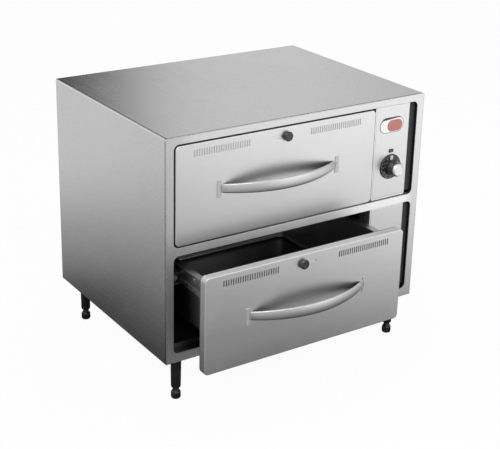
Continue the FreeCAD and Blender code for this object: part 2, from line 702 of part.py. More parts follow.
def inner_panel(z0, pull):
    """Flat sheet closing the back of the front, with a window behind each vent grid."""
    sheet = front_box(z0, pull, -SHEET, FRONT_EDGE_D - INNER_T, FRONT_EDGE_D)
    y = FRONT_Y - pull
    z = vent_z(z0)
    grid_half = VENT_COUNT * VENT_PITCH / 2
    windows = [block(DRAWER_X + g - grid_half, DRAWER_X + g + grid_half, y, y + FRONT_EDGE_D + 1,
                     z - VENT_SLOT_H / 4, z + VENT_SLOT_H / 2) for g in (-VENT_GRID_X, VENT_GRID_X)]
    holes = [screw_hole(p, Y_AXIS) for p in inner_screw_places(z0, pull)]
    return cut(sheet, windows + holes)


def front_insulation(z0, pull):
    """Pad inside the front, below the vent channel."""
    pad = front_box(z0, pull, -SHEET, SHEET, FRONT_EDGE_D - INNER_T)
    y = FRONT_Y - pull
    low = vent_z(z0) - shutter_half_height() - TOUCH - SHEET - PAD_GAP
    channel = block(FRONT_LEFT, FRONT_RIGHT, y, y + FRONT_EDGE_D, low, low + FRONT_H)
    return cut(pad, [channel] + [screw_hole(p, Y_AXIS) for p in inner_screw_places(z0, pull)])


def gasket(z0, pull):
    """Flat silicone ring between the drawer front and the seal plate."""
    d1 = RETURN_D - TOUCH
    outer = front_box(z0, pull, -GASKET_INSET, FRONT_EDGE_D, d1)
    return outer.cut(front_box(z0, pull, -GASKET_INSET - GASKET_W, FRONT_EDGE_D - 1, d1 + 1))


def handle(z0, pull):
    """Crowned bow band with end tabs, turned about an upright axis and trimmed to its front outline."""
    face = FRONT_Y - pull
    z = z0 + FRONT_GAP_BOTTOM + FRONT_H / 2
    half = HANDLE_SPAN / 2
    bow_r = (half ** 2 + HANDLE_REACH ** 2) / (2 * HANDLE_REACH)
    axis_y = face - HANDLE_REACH + bow_r
    h = HANDLE_H / 2
    crown_y = -bow_r + HANDLE_CROWN
    back_y = -bow_r + HANDLE_T
    k = h + HANDLE_TRIM
    outer = Part.Arc(vec(0, crown_y, -k), vec(0, -bow_r, 0), vec(0, crown_y, k))
    sides = Part.makePolygon([vec(0, crown_y, k), vec(0, back_y, k), vec(0, back_y, -k), vec(0, crown_y, -k)])
    section = Part.Wire([outer.toShape()] + sides.Edges)
    sweep = math.degrees(math.asin(half / bow_r)) + 4
    start = Part.Face(section)
    start.rotate(vec(0, 0, 0), Z_AXIS, -sweep)
    bow = start.revolve(vec(0, 0, 0), Z_AXIS, 2 * sweep)
    bow.translate(vec(DRAWER_X, axis_y, z))
    e = HANDLE_END_H / 2
    end_x = half - e
    corners = [vec(-end_x, 0, e), vec(end_x, 0, e), vec(end_x, 0, -e), vec(-end_x, 0, -e)]
    bulges = [vec(0, 0, h), vec(half + HANDLE_TRIM, 0, 0), vec(0, 0, -h), vec(-half - HANDLE_TRIM, 0, 0)]
    arcs = [Part.Arc(corners[i], bulges[i], corners[(i + 1) % 4]) for i in range(4)]
    outline = Part.Face(Part.Wire([a.toShape() for a in arcs])).extrude(vec(0, HANDLE_REACH + 10, 0))
    outline.translate(vec(DRAWER_X, face - HANDLE_REACH - 10, z))
    tab = rounded_block(DRAWER_X + half - 2, DRAWER_X + half - 2 + TAB_W, face - TAB_T, face,
                        z - TAB_H / 2, z + TAB_H / 2, Y_AXIS, 3)
    root_h = e * 0.8
    root = block(DRAWER_X + half - HANDLE_T - 4, DRAWER_X + half, face - TAB_T, face, z - root_h, z + root_h)
    return fuse([bow.common(outline)] + mirrored_pair(tab) + mirrored_pair(root))


# ---------------------------------------------------------------- roller slides
def rail_x():
    """Offsets from the cavity wall: channel, roller, drawer flange and drawer web."""
    roller = CHANNEL_W - 1 - ROLLER_W
    web = CHANNEL_W + SIDE_GAP
    return roller, web


def stud(x0, x1, head_x0, head_x1, y, z):
    """Axle stud with its riveted head."""
    return [cylinder(AXLE_R, x1 - x0, vec(x0, y, z), X_AXIS),
            cylinder(AXLE_HEAD_R, head_x1 - head_x0, vec(head_x0, y, z), X_AXIS)]


def cabinet_roller_y():
    return LINER_Y + SHEET + ROLLER_INSET


def drawer_roller_y(pull):
    return FRONT_Y - pull + FRONT_EDGE_D + CARRIER_D - ROLLER_INSET


def cabinet_rails(z0):
    """Left and right roller channels on the cavity walls, with the front axle studs."""
    axis_z = z0 + RAIL_RISE
    floor = axis_z - ROLLER_R - ROLL_GAP
    roof = axis_z + ROLLER_R + ROLL_GAP + RAIL_T + 2 * ROLL_GAP
    y0 = LINER_Y + SHEET
    x0 = MOUTH_LEFT
    y1 = LINER_BACK_Y - CHANNEL_BACK_GAP
    outer = block(x0, x0 + CHANNEL_W, y0, y1, floor - RAIL_T, roof + RAIL_T)
    channel = outer.cut(block(x0 + RAIL_T, x0 + CHANNEL_W + 1, y0 - 1, y1 + 1, floor, roof))
    roller, _ = rail_x()
    head = x0 + roller + ROLLER_W + TOUCH
    tip = head + AXLE_HEAD_T - TOUCH
    rail = fuse([channel] + stud(x0 + RAIL_T, head, head, tip, cabinet_roller_y(), axis_z))
    return Part.makeCompound(mirrored_pair(rail))


def roller(y, z):
    """One roller with its bore, on the left side."""
    offset, _ = rail_x()
    base = vec(MOUTH_LEFT + offset, y, z)
    disc = turned([(AXLE_R + RUNNING, 0), (ROLLER_R - 1, 0), (ROLLER_R, 1), (ROLLER_R, ROLLER_W - 1),
                   (ROLLER_R - 1, ROLLER_W), (AXLE_R + RUNNING, ROLLER_W)], base, X_AXIS)
    return Part.makeCompound(mirrored_pair(disc))


def rivet_places(z0, pull):
    """Screws that hold a drawer rail to the carrier's side."""
    _, web = rail_x()
    x = MOUTH_LEFT + web + 2 * RAIL_T
    z = z0 + RAIL_RISE + ROLLER_R + RAIL_SCREW_RISE
    y = FRONT_Y - pull + FRONT_EDGE_D
    return [vec(x, y + share * CARRIER_D, z) for share in (0.15, 0.5, 0.85)]


def drawer_rails(z0, pull):
    """Left and right drawer members: a web on the carrier and a flange over the front rollers."""
    offset, web = rail_x()
    x0 = MOUTH_LEFT + web
    axis_z = z0 + RAIL_RISE
    under = axis_z + ROLLER_R + ROLL_GAP
    y0 = FRONT_Y - pull + FRONT_EDGE_D
    roller_y = drawer_roller_y(pull)
    plate = block(x0, x0 + RAIL_T, y0, y0 + CARRIER_D, axis_z - ROLLER_R, under + RAIL_WEB_RISE)
    flange = block(MOUTH_LEFT + RAIL_T + FLANGE_GAP, x0, y0 + RAIL_NOSE, roller_y - ROLLER_R - FLANGE_GAP,
                   under, under + RAIL_T)
    tip = MOUTH_LEFT + offset - TOUCH
    member = fuse([plate, flange] + stud(tip, x0, tip - AXLE_HEAD_T, tip, roller_y, axis_z))
    member = cut(member, [screw_hole(p, X_AXIS) for p in rivet_places(z0, pull)])
    return Part.makeCompound(mirrored_pair(member))


# ---------------------------------------------------------------- carrier and pan
def carrier_box(z0, pull, grow, z_low, z_high):
    _, web = rail_x()
    side = web + RAIL_T - grow
    y0 = FRONT_Y - pull + FRONT_EDGE_D
    return block(MOUTH_LEFT + side, MOUTH_RIGHT - side, y0 - grow, y0 + CARRIER_D + grow, z_low, z_high)


def carrier(z0, pull):
    """Open frame behind the front: four walls, outward side flanges and inward end flanges."""
    rim = z0 + PAN_RIM_Z
    low = rim - CARRIER_H
    walls = carrier_box(z0, pull, 0, low, rim).cut(carrier_box(z0, pull, -RAIL_T, low - 1, rim + 1))
    y0 = FRONT_Y - pull + FRONT_EDGE_D
    _, web = rail_x()
    x0 = MOUTH_LEFT + web + RAIL_T
    side = block(x0 - CARRIER_FLANGE, x0 + RAIL_T, y0 + 4, y0 + CARRIER_D, rim - RAIL_T, rim)
    ends = [block(x0, 2 * DRAWER_X - x0, y, y + CARRIER_FLANGE, rim - RAIL_T, rim)
            for y in (y0, y0 + CARRIER_D - CARRIER_FLANGE)]
    solid = fuse([walls] + mirrored_pair(side) + ends)
    holes = [screw_hole(p, Y_AXIS) for p in inner_screw_places(z0, pull)]
    for p in rivet_places(z0, pull):
        holes += mirrored_pair(screw_hole(p, X_AXIS))
    return cut(solid, holes)


def drawer_screws(z0, pull):
    """Screws of the carrier: four into the inner panel and three into each rail."""
    screws = [screw(p, Y_AXIS) for p in inner_screw_places(z0, pull)]
    for p in rivet_places(z0, pull):
        screws += mirrored_pair(screw(p, X_AXIS))
    return Part.makeCompound(screws)


def rounded_wire(x0, x1, y0, y1, z, radius):
    """Closed rounded rectangle at a height."""
    plate = rounded_block(x0, x1, y0, y1, z, z + 1, Z_AXIS, radius)
    floor = [f for f in plate.Faces if abs(f.BoundBox.ZMax - z) < 1e-4][0]
    return floor.OuterWire


def pan_form(x0, x1, y0, y1, rim, depth, inset, grow):
    """Drafted tub with rounded corners and a rounded floor."""
    top = rounded_wire(x0 + inset, x1 - inset, y0 + inset, y1 - inset, rim + grow, PAN_CORNER_R - inset)
    low = inset + PAN_DRAFT
    bottom = rounded_wire(x0 + low, x1 - low, y0 + low, y1 - low, rim - depth, PAN_CORNER_R - low)
    tub = Part.makeLoft([top, bottom], True)
    floor_edges = [e for e in tub.Edges if e.BoundBox.ZMax < rim - depth + 1e-3]
    return tub.makeFillet(PAN_FLOOR_R - inset, floor_edges)


def pan(z0, pull):
    """Deep-drawn pan hanging in the carrier by its flat rim."""
    _, web = rail_x()
    wall = MOUTH_LEFT + web + 2 * RAIL_T + SCREW_HEAD_T
    y_front = FRONT_Y - pull + FRONT_EDGE_D + CARRIER_FLANGE
    y_back = FRONT_Y - pull + FRONT_EDGE_D + CARRIER_D - CARRIER_FLANGE
    rim = z0 + PAN_RIM_Z
    x0 = wall + PAN_CLEAR
    x1 = 2 * DRAWER_X - x0
    y0 = y_front + PAN_CLEAR
    y1 = y_back - PAN_CLEAR
    outer = pan_form(x0, x1, y0, y1, rim, PAN_DEPTH, 0, 0)
    rim_x = MOUTH_LEFT + web + RAIL_T - CARRIER_FLANGE + 1
    rim_y = y_front - CARRIER_FLANGE + 4 + 1
    lip = rounded_block(rim_x, 2 * DRAWER_X - rim_x, rim_y, y_back + CARRIER_FLANGE - 1,
                        rim, rim + PAN_T, Z_AXIS, PAN_CLEAR + 4)
    inner = pan_form(x0, x1, y0, y1, rim, PAN_DEPTH - PAN_T, PAN_T, PAN_T + 1)
    return outer.fuse(lip).removeSplitter().cut(inner)


# ---------------------------------------------------------------- build
save("outer_shell", outer_shell())
save("front_frame", front_frame())
save("back_panel", back_panel())
save("bottom_panel", bottom_panel())
save("cable_bushing", cable_bushing())
save("terminal_block", terminal_block())
save("name_plate", name_plate())
save("cabinet_screws", Part.makeCompound([screw(p, Y_AXIS) for p in back_screw_places()]))

for place, leg_x, leg_y in leg_places():
    save("leg_" + place, leg(leg_x, leg_y))
    save("foot_" + place, foot(leg_x, leg_y))

for level, z_open, pulled, vent_end in LEVELS:
    rail_z = z_open + RAIL_RISE
    save(level + "_liner", liner(z_open))
    save(level + "_insulation", insulation(z_open))
    save(level + "_heating_element", heating_element(z_open))
    save(level + "_cabinet_rails", cabinet_rails(z_open))
    save(level + "_cabinet_rollers", roller(cabinet_roller_y(), rail_z))
    save(level + "_control_panel", control_panel(z_open))
    save(level + "_thermostat", thermostat(z_open))
    save(level + "_pilot_light", pilot_light(z_open))
    save(level + "_thermostat_knob", thermostat_knob(z_open))
    save(level + "_knob_cap", knob_cap(z_open))
    save(level + "_drawer_front", drawer_front(z_open, pulled))
    save(level + "_inner_panel", inner_panel(z_open, pulled))
    save(level + "_front_insulation", front_insulation(z_open, pulled))
    save(level + "_gasket", gasket(z_open, pulled))
    save(level + "_handle", handle(z_open, pulled))
    save(level + "_vent_shutter", vent_shutter(z_open, pulled, vent_end))
    save(level + "_vent_knob", vent_knob(z_open, pulled, vent_end))
    save(level + "_carrier", carrier(z_open, pulled))
    save(level + "_drawer_rails", drawer_rails(z_open, pulled))
    save(level + "_drawer_rollers", roller(drawer_roller_y(pulled), rail_z))
    save(level + "_drawer_screws", drawer_screws(z_open, pulled))
    save(level + "_pan", pan(z_open, pulled))
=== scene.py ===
import json
import math

import bmesh
import bpy
import numpy as np
from mathutils import Matrix, Vector


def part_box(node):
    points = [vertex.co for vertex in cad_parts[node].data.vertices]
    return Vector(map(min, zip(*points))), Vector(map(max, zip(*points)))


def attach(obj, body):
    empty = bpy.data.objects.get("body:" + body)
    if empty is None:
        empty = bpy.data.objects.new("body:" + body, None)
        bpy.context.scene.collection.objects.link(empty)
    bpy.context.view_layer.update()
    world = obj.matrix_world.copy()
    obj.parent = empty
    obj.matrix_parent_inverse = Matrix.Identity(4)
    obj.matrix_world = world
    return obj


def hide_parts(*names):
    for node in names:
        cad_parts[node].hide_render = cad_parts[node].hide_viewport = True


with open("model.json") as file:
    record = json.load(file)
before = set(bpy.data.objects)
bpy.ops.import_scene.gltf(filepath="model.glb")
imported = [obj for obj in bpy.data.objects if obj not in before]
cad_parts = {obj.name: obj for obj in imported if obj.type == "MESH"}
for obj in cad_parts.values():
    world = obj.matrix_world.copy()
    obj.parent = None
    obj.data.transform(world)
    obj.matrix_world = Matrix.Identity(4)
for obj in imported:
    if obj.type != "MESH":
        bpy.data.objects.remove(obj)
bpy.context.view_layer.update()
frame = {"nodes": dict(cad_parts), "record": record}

# Countertop warming drawer: finishes for its solids, and finer surfaces that stand for some of them.
# Surfaces are worked out in millimetres and enter the scene in metres. +X right, -Y front, +Z up.
MM = 0.001
SHEET = 1.2
RUNNING = 0.05
FORWARD = (0, -1, 0)
BACKWARD = (0, 1, 0)
UPWARD = (0, 0, 1)
RIGHTWARD = (1, 0, 0)
LEFTWARD = (-1, 0, 0)
LEVELS = ("lower", "upper")
FEET = ("front_left", "front_right", "rear_left", "rear_right")


# ------------------------------------------------------------------ camera
CAMERA_AT = (-1.5916, -2.3246, 1.492)
CAMERA_YAW = math.radians(34.086)
CAMERA_PITCH = math.radians(-20.092)
CAMERA_ROLL = math.radians(1.404)
LENS_MM = 84.98
SENSOR_MM = 36
SHIFT_Y = -0.1
FAR_END = 50


def make_camera():
    """Camera whose view axis is given by yaw from +Y towards +X, pitch and roll: ahead = (sin yaw cos pitch,
    cos yaw cos pitch, sin pitch), and roll turns the level and upright directions about it."""
    ahead = np.array([math.sin(CAMERA_YAW) * math.cos(CAMERA_PITCH),
                      math.cos(CAMERA_YAW) * math.cos(CAMERA_PITCH), math.sin(CAMERA_PITCH)])
    level = np.array([math.cos(CAMERA_YAW), -math.sin(CAMERA_YAW), 0.0])
    upright = np.cross(level, ahead)
    right = math.cos(CAMERA_ROLL) * level + math.sin(CAMERA_ROLL) * upright
    up = -math.sin(CAMERA_ROLL) * level + math.cos(CAMERA_ROLL) * upright
    data = bpy.data.cameras.new("camera")
    data.lens = LENS_MM
    data.sensor_width = SENSOR_MM
    data.shift_y = SHIFT_Y
    data.clip_end = FAR_END
    camera = bpy.data.objects.new("camera", data)
    bpy.context.scene.collection.objects.link(camera)
    turn = Matrix([list(row) for row in np.array([right, up, -ahead]).T]).to_4x4()
    camera.matrix_world = Matrix.Translation(CAMERA_AT) @ turn
    bpy.context.scene.camera = camera


# ------------------------------------------------------------------ shader maths
class Value:
    """A socket that can be used in an expression: each operator adds one Math node."""

    def __init__(self, nodes, socket):
        self.nodes = nodes
        self.socket = socket

    def maths(self, operation, *others):
        """One Math node with this value first."""
        return self.nodes.node("Math", {"operation": operation}, dict(enumerate((self,) + others)))

    def __add__(self, other):
        return self.maths("ADD", other)

    __radd__ = __add__

    def __mul__(self, other):
        return self.maths("MULTIPLY", other)

    __rmul__ = __mul__

    def __sub__(self, other):
        return self.maths("SUBTRACT", other)

    def __rsub__(self, other):
        return self.nodes.node("Math", {"operation": "SUBTRACT"}, {0: other, 1: self})

    def __pow__(self, other):
        return self.maths("POWER", other)

    def above(self, low, high):
        """0 at low, 1 at high, smooth between and flat beyond. Low may be the larger of the two."""
        return self.nodes.node("MapRange", {"interpolation_type": "SMOOTHSTEP", "clamp": True},
                               {"Value": self, "From Min": low, "From Max": high})


def set_stops(ramp, stops):
    """Colour ramp from pairs of a position and a grey level."""
    while len(ramp.elements) < len(stops):
        ramp.elements.new(0.5)
    for element, (at, grey) in zip(ramp.elements, stops):
        element.position = at
        element.color = (grey, grey, grey, 1.0)


class Nodes:
    """A node tree under construction, for a material or for the world."""

    def __init__(self, tree):
        self.tree = tree
        tree.nodes.clear()

    def node(self, kind, settings, inputs, output=0):
        """One node: its type, then its settings, then the values or links of its sockets. Gives back one of
        its outputs."""
        made = self.tree.nodes.new("ShaderNode" + kind)
        for key, value in settings.items():
            if key == "stops":
                set_stops(made.color_ramp, value)
            else:
                setattr(made, key, value)
        for key, value in inputs.items():
            self.feed(made.inputs[key], value)
        return Value(self, made.outputs[output]) if made.outputs else None

    def feed(self, socket, value):
        """Link a value into a socket, or set the socket to a constant."""
        if isinstance(value, Value):
            self.tree.links.new(value.socket, socket)
        else:
            socket.default_value = value

    def mix(self, factor, first, second, blend="MIX"):
        """Colour between two colours, or their product where blend is MULTIPLY."""
        settings = {"data_type": "RGBA", "blend_type": blend}
        return self.node("Mix", settings, {0: factor, 6: first, 7: second}, 2)

    def grey_ramp(self, stops, value):
        """Grey looked up along the stops, straight between them."""
        return self.node("ValToRGB", {"stops": stops}, {0: value})

    def ray(self, kind):
        """1 for light rays of one kind, such as those straight from the camera."""
        return self.node("LightPath", {}, {}, "Is %s Ray" % kind)


class Finish(Nodes):
    """A material under construction: a Principled shader and the nodes that feed it."""

    def __init__(self, name, **fixed):
        self.material = bpy.data.materials.new(name)
        self.material.use_nodes = True
        super().__init__(self.material.node_tree)
        self.output = self.tree.nodes.new("ShaderNodeOutputMaterial")
        self.shader = self.tree.nodes.new("ShaderNodeBsdfPrincipled")
        self.tree.links.new(self.shader.outputs[0], self.output.inputs["Surface"])
        self.place = self.node("TexCoord", {}, {}, "Object")
        for key, value in fixed.items():
            self.shader.inputs[key.replace("_", " ")].default_value = value

    def stretched(self, scale):
        """Object coordinates scaled differently along each axis."""
        return self.node("Mapping", {}, {"Vector": self.place, "Scale": scale}, "Vector")

    def noise(self, scale, detail, vector=None, rough=0.5):
        """Cloudy noise: scale is in waves to the metre, detail in octaves."""
        inputs = {"Vector": vector or self.place, "Scale": scale, "Detail": detail, "Roughness": rough}
        return self.node("TexNoise", {}, inputs)

    def ribs(self, axis, scale):
        """Even waves along one axis."""
        return self.node("TexWave", {"wave_type": "BANDS", "bands_direction": axis},
                         {"Vector": self.place, "Scale": scale, "Distortion": 0.0}, 1)

    def part_of(self, axis, vector=None):
        """One coordinate of a vector, or of the place on the object."""
        return self.node("SeparateXYZ", {}, {0: vector or self.place}, "XYZ".index(axis))

    def bump(self, height, strength, distance, normal=None):
        """Normal tilted by a height, on top of another normal if one is given."""
        inputs = {"Height": height, "Strength": strength, "Distance": distance}
        if normal:
            inputs["Normal"] = normal
        return self.node("Bump", {}, inputs)

    def soft_edges(self, radius):
        """Normal that rounds sharp edges by a small radius."""
        return self.node("Bevel", {"samples": 4}, {"Radius": radius})

    def surface(self, **inputs):
        """Feed the shader's sockets, named with _ for a space, and hand back the material."""
        for key, value in inputs.items():
            self.feed(self.shader.inputs[key.replace("_", " ")], value)
        return self.material


def colour(value, tint=(1.0, 1.0, 1.0)):
    """Grey level times a tint."""
    return (value * tint[0], value * tint[1], value * tint[2], 1.0)


# ------------------------------------------------------------------ metals
# Each pair of places is where a mark starts and where it is full, in metres or, for a facing, as the upward
# part of the normal.
STEEL_TINT = (0.996, 0.998, 1.0)
# Dark of the wrap's seam line, also used as painted shade; then the dark of the painted shade under the bow.
SEAM_AND_SHADE_DARK = (0.05, 0.05, 0.052, 1.0)
UNDER_SHADE_DARK = (0.04, 0.04, 0.042, 1.0)
FINE_ALONG = 3.0
BROAD_ALONG = 1.5
BROAD_ACROSS = 120.0
# How much darker the painted shade handed to the marks is than the steel's tone.
SHADE_DROP = 0.28
FACE_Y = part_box("outer_shell")[0][1]
BEND_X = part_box("outer_shell")[1][0]
BEND_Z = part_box("outer_shell")[1][2]
DIVIDER_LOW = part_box("lower_drawer_front")[1][2] + 4.0 * MM
DIVIDER_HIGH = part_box("upper_drawer_front")[0][2] - 3.0 * MM
DIVIDER_EDGE = 2.0 * MM
# Where the painted highlight of the divider rail grows, and where it ends near the right stile.
DIVIDER_HIGHLIGHT_GROWS = (-0.28, 0.05)
DIVIDER_HIGHLIGHT_ENDS = (0.365, 0.325)
# Where the painted shade of the left stile starts and where it is full.
STILE_SHADE = (-0.29, -0.36)
HANDLE_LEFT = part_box("upper_handle")[0][0]
# Where the painted shade of the bow's left tip is full and where it ends, and the facings of its shade below.
HANDLE_TIP_SHADE = (HANDLE_LEFT + 36.0 * MM, HANDLE_LEFT + 5.0 * MM)
FACING_DOWN = (-0.04, -0.45)


def brushed_steel(name, grain, tone, roughness, streak=0.05, edge=0.8 * MM, bite=0.12, across=900.0,
                  marks=None):
    """Brushed stainless. The shade is 0.6 of the fine streaks along the grain and 0.4 of the broad ones, and
    moves the tone by streak either way. Clouds and smears make it duller and rougher. The function marks adds
    this piece's own seams and painted light and shade: it is given the finish, the base colour, a darker one
    for painted shade and the normal of the eased edges, and hands back the new base colour."""
    finish = Finish(name, Metallic=1.0)
    fine_scale = tuple(FINE_ALONG if axis == grain else across for axis in "XYZ")
    broad_scale = tuple(BROAD_ALONG if axis == grain else BROAD_ACROSS for axis in "XYZ")
    fine = finish.noise(1.0, 3.0, finish.stretched(fine_scale), 0.6)
    broad = finish.noise(1.0, 2.0, finish.stretched(broad_scale))
    cloud = finish.noise(5.0, 3.0)
    smear = finish.noise(14.0, 2.0).above(0.55, 0.75)
    shade = fine * 0.6 + broad * 0.4
    base = finish.mix(shade, colour(tone - streak, STEEL_TINT), colour(tone + streak, STEEL_TINT))
    base = finish.mix(cloud * 0.25, base, colour(tone - 0.10, STEEL_TINT))
    rough = (shade - 0.5) * 0.16 + cloud * 0.06 + smear * 0.03 + (roughness - 0.03)
    facing = finish.soft_edges(edge)
    if marks:
        base = marks(finish, base, colour(tone - SHADE_DROP, STEEL_TINT), facing)
    normal = finish.bump(fine, bite, 0.15 * MM, facing)
    return finish.surface(Base_Color=base, Roughness=rough, Normal=normal)


def wrap_marks(finish, base, dull, facing):
    """Soft dark line where the wrap closes on the face sheet, a painted highlight just below the bend of side
    and top, and painted shade on the top along that bend."""
    line = (finish.part_of("Y") - (FACE_Y + 3.5 * MM)).maths("ABSOLUTE").above(4.0 * MM, 1.0 * MM)
    base = finish.mix(line * 0.55, base, SEAM_AND_SHADE_DARK)
    out = finish.part_of("X").maths("ABSOLUTE")
    up = finish.part_of("Z")
    # Painted highlight on the side just under the bend, and painted shade on the top along it.
    painted_highlight = out.above(BEND_X - 0.6 * MM, BEND_X - 0.2 * MM) * up.above(BEND_Z - 6.0 * MM, BEND_Z - 2.5 * MM)
    bend_shade = out.above(BEND_X - 5.0 * MM, BEND_X - 1.0 * MM) * up.above(BEND_Z - 1.0 * MM, BEND_Z - 0.3 * MM)
    base = finish.mix(painted_highlight * 0.7, base, colour(0.95))
    return finish.mix(bend_shade * 0.65, base, SEAM_AND_SHADE_DARK)


def frame_marks(finish, base, dull, facing):
    """Painted shade on the sheet behind the face and on the left stile, and a painted highlight on the
    divider rail that grows from the left towards the right stile."""
    # Painted shade on the sheet behind the face, in the openings and gaps.
    fold_shade = finish.part_of("Y").above(FACE_Y + 0.8 * MM, FACE_Y + 4.0 * MM)
    base = finish.mix(fold_shade, base, SEAM_AND_SHADE_DARK)
    along = finish.part_of("X")
    # Painted shade on the left stile.
    base = finish.mix(along.above(*STILE_SHADE) * 0.5, base, dull)
    up = finish.part_of("Z")
    # Painted highlight on the divider rail, growing from the left and fading before the right stile.
    rail = up.above(DIVIDER_LOW - DIVIDER_EDGE, DIVIDER_LOW)
    rail = rail * up.above(DIVIDER_HIGH + DIVIDER_EDGE, DIVIDER_HIGH)
    painted_highlight = along.above(*DIVIDER_HIGHLIGHT_GROWS) * along.above(*DIVIDER_HIGHLIGHT_ENDS)
    return finish.mix(rail * painted_highlight, base, colour(1.0, STEEL_TINT))


def bow_marks(finish, base, dull, facing):
    """Painted shade: darker towards the left tip of the bow, and dark where it faces down."""
    # Painted shade towards the left tip, and on the faces that look down.
    tip = finish.part_of("X").above(*HANDLE_TIP_SHADE)
    base = finish.mix(tip * 0.5, base, dull)
    down = finish.part_of("Z", facing).above(*FACING_DOWN)
    return finish.mix(down * 0.75, base, UNDER_SHADE_DARK)


def rolled_steel(name, tone, roughness):
    """Plain mill finish: cloudy, with a faint grain and some dull patches."""
    finish = Finish(name, Metallic=1.0)
    cloud = finish.noise(9.0, 4.0)
    speck = finish.noise(260.0, 2.0)
    base = finish.mix(cloud, colour(tone - 0.07, STEEL_TINT), colour(tone + 0.05, STEEL_TINT))
    rough = cloud * 0.16 + speck * 0.08 + (roughness - 0.12)
    normal = finish.bump(speck, 0.08, 0.1 * MM, finish.soft_edges(0.5 * MM))
    return finish.surface(Base_Color=base, Roughness=rough, Normal=normal)


def zinc_plate(name):
    """Zinc plating with crystal patches and a faint warm stain, its tone kept low partly as painted shade."""
    finish = Finish(name, Metallic=1.0)
    cells = finish.node("TexVoronoi", {}, {"Vector": finish.place, "Scale": 90.0}, "Color")
    grey = finish.node("SeparateColor", {}, {0: cells})
    stain = finish.noise(12.0, 3.0).above(0.45, 0.7)
    base = finish.mix(grey, (0.26, 0.265, 0.27, 1.0), (0.38, 0.385, 0.39, 1.0))
    base = finish.mix(stain * 0.4, base, (0.36, 0.34, 0.29, 1.0))
    rough = grey * 0.15 + 0.28
    return finish.surface(Base_Color=base, Roughness=rough, Normal=finish.soft_edges(0.4 * MM))


# ------------------------------------------------------------------ other finishes
def moulded_black(name, tone, roughness, coat=0.0):
    """Moulded black plastic: fine pitting, with dust and spots worn by rubbing."""
    finish = Finish(name, Metallic=0.0)
    pits = finish.noise(1400.0, 2.0)
    rub = finish.noise(60.0, 3.0).above(0.5, 0.72)
    base = finish.mix(rub, colour(tone), colour(tone * 2.2 + 0.01))
    rough = rub * 0.12 + pits * 0.08 + (roughness - 0.08)
    normal = finish.bump(pits, 0.10, 0.08 * MM, finish.soft_edges(0.4 * MM))
    finish.shader.inputs["Coat Roughness"].default_value = 0.15
    return finish.surface(Base_Color=base, Roughness=rough, Coat_Weight=coat, Normal=normal)


def black_enamel(name):
    """Baked black enamel on the legs: orange-peel skin and light dust low down."""
    finish = Finish(name, Metallic=0.0)
    peel = finish.noise(320.0, 2.0)
    dust = finish.noise(45.0, 4.0).above(0.48, 0.75)
    base = finish.mix(dust * 0.4, colour(0.010), colour(0.035))
    rough = dust * 0.2 + peel * 0.05 + 0.36
    normal = finish.bump(peel, 0.12, 0.2 * MM, finish.soft_edges(0.5 * MM))
    return finish.surface(Base_Color=base, Roughness=rough, Coat_Weight=0.1, Normal=normal)


def silicone(name):
    """Grey-black rubber: fine pitting and a slow change of tone."""
    finish = Finish(name, Metallic=0.0)
    speck = finish.noise(500.0, 3.0)
    cloud = finish.noise(20.0, 2.0)
    base = finish.mix(cloud, (0.055, 0.052, 0.050, 1.0), (0.10, 0.095, 0.09, 1.0))
    normal = finish.bump(speck, 0.15, 0.1 * MM)
    return finish.surface(Base_Color=base, Roughness=speck * 0.1 + 0.55, Normal=normal)


def mineral_wool(name):
    """Matted fibre: long crossed strands in straw and grey."""
    finish = Finish(name, Metallic=0.0)
    strands = finish.noise(1.0, 5.0, finish.stretched((40.0, 240.0, 700.0)), 0.7)
    clumps = finish.noise(70.0, 4.0)
    base = finish.mix(strands, (0.36, 0.32, 0.22, 1.0), (0.74, 0.70, 0.56, 1.0))
    base = finish.mix(clumps * 0.4, base, (0.50, 0.49, 0.45, 1.0))
    normal = finish.bump(strands + clumps, 0.7, 2.0 * MM)
    return finish.surface(Base_Color=base, Roughness=strands * 0.1 + 0.85, Normal=normal)


def element_sheath(name):
    """Oxidised heater sheath: dark straw to blue-grey bands."""
    finish = Finish(name, Metallic=0.85)
    heat = finish.noise(22.0, 3.0)
    speck = finish.noise(400.0, 2.0)
    base = finish.mix(heat.above(0.35, 0.65), (0.10, 0.085, 0.075, 1.0), (0.20, 0.19, 0.20, 1.0))
    normal = finish.bump(speck, 0.2, 0.1 * MM)
    return finish.surface(Base_Color=base, Roughness=speck * 0.2 + 0.4, Normal=normal)


def ceramic(name):
    """Unglazed off-white ceramic, slightly cloudy."""
    finish = Finish(name, Metallic=0.0)
    cloud = finish.noise(60.0, 3.0)
    base = finish.mix(cloud, (0.74, 0.71, 0.64, 1.0), (0.86, 0.84, 0.79, 1.0))
    normal = finish.soft_edges(0.6 * MM)
    return finish.surface(Base_Color=base, Roughness=cloud * 0.15 + 0.2, Normal=normal)


def ribbed_black(name):
    """Dull black with fine level ribs, used as painted shade in the slots."""
    finish = Finish(name, Metallic=0.0)
    ribs = finish.ribs("Z", 60.0)
    dust = finish.noise(90.0, 3.0)
    base = finish.mix(dust, colour(0.024), colour(0.040))
    normal = finish.bump(ribs, 0.5, 1.0 * MM)
    return finish.surface(Base_Color=base, Roughness=dust * 0.1 + 0.55, Normal=normal)


def lamp_lens(name):
    """Smoked amber lens of the pilot light, ribbed upright."""
    finish = Finish(name, Metallic=0.0)
    ribs = finish.ribs("X", 260.0)
    depth = finish.noise(300.0, 2.0)
    base = finish.mix(ribs * 0.5 + depth * 0.3, (0.035, 0.018, 0.012, 1.0), (0.12, 0.05, 0.03, 1.0))
    normal = finish.bump(ribs, 0.3, 0.2 * MM)
    return finish.surface(Base_Color=base, Roughness=depth * 0.1 + 0.12, Coat_Weight=0.6, Normal=normal)


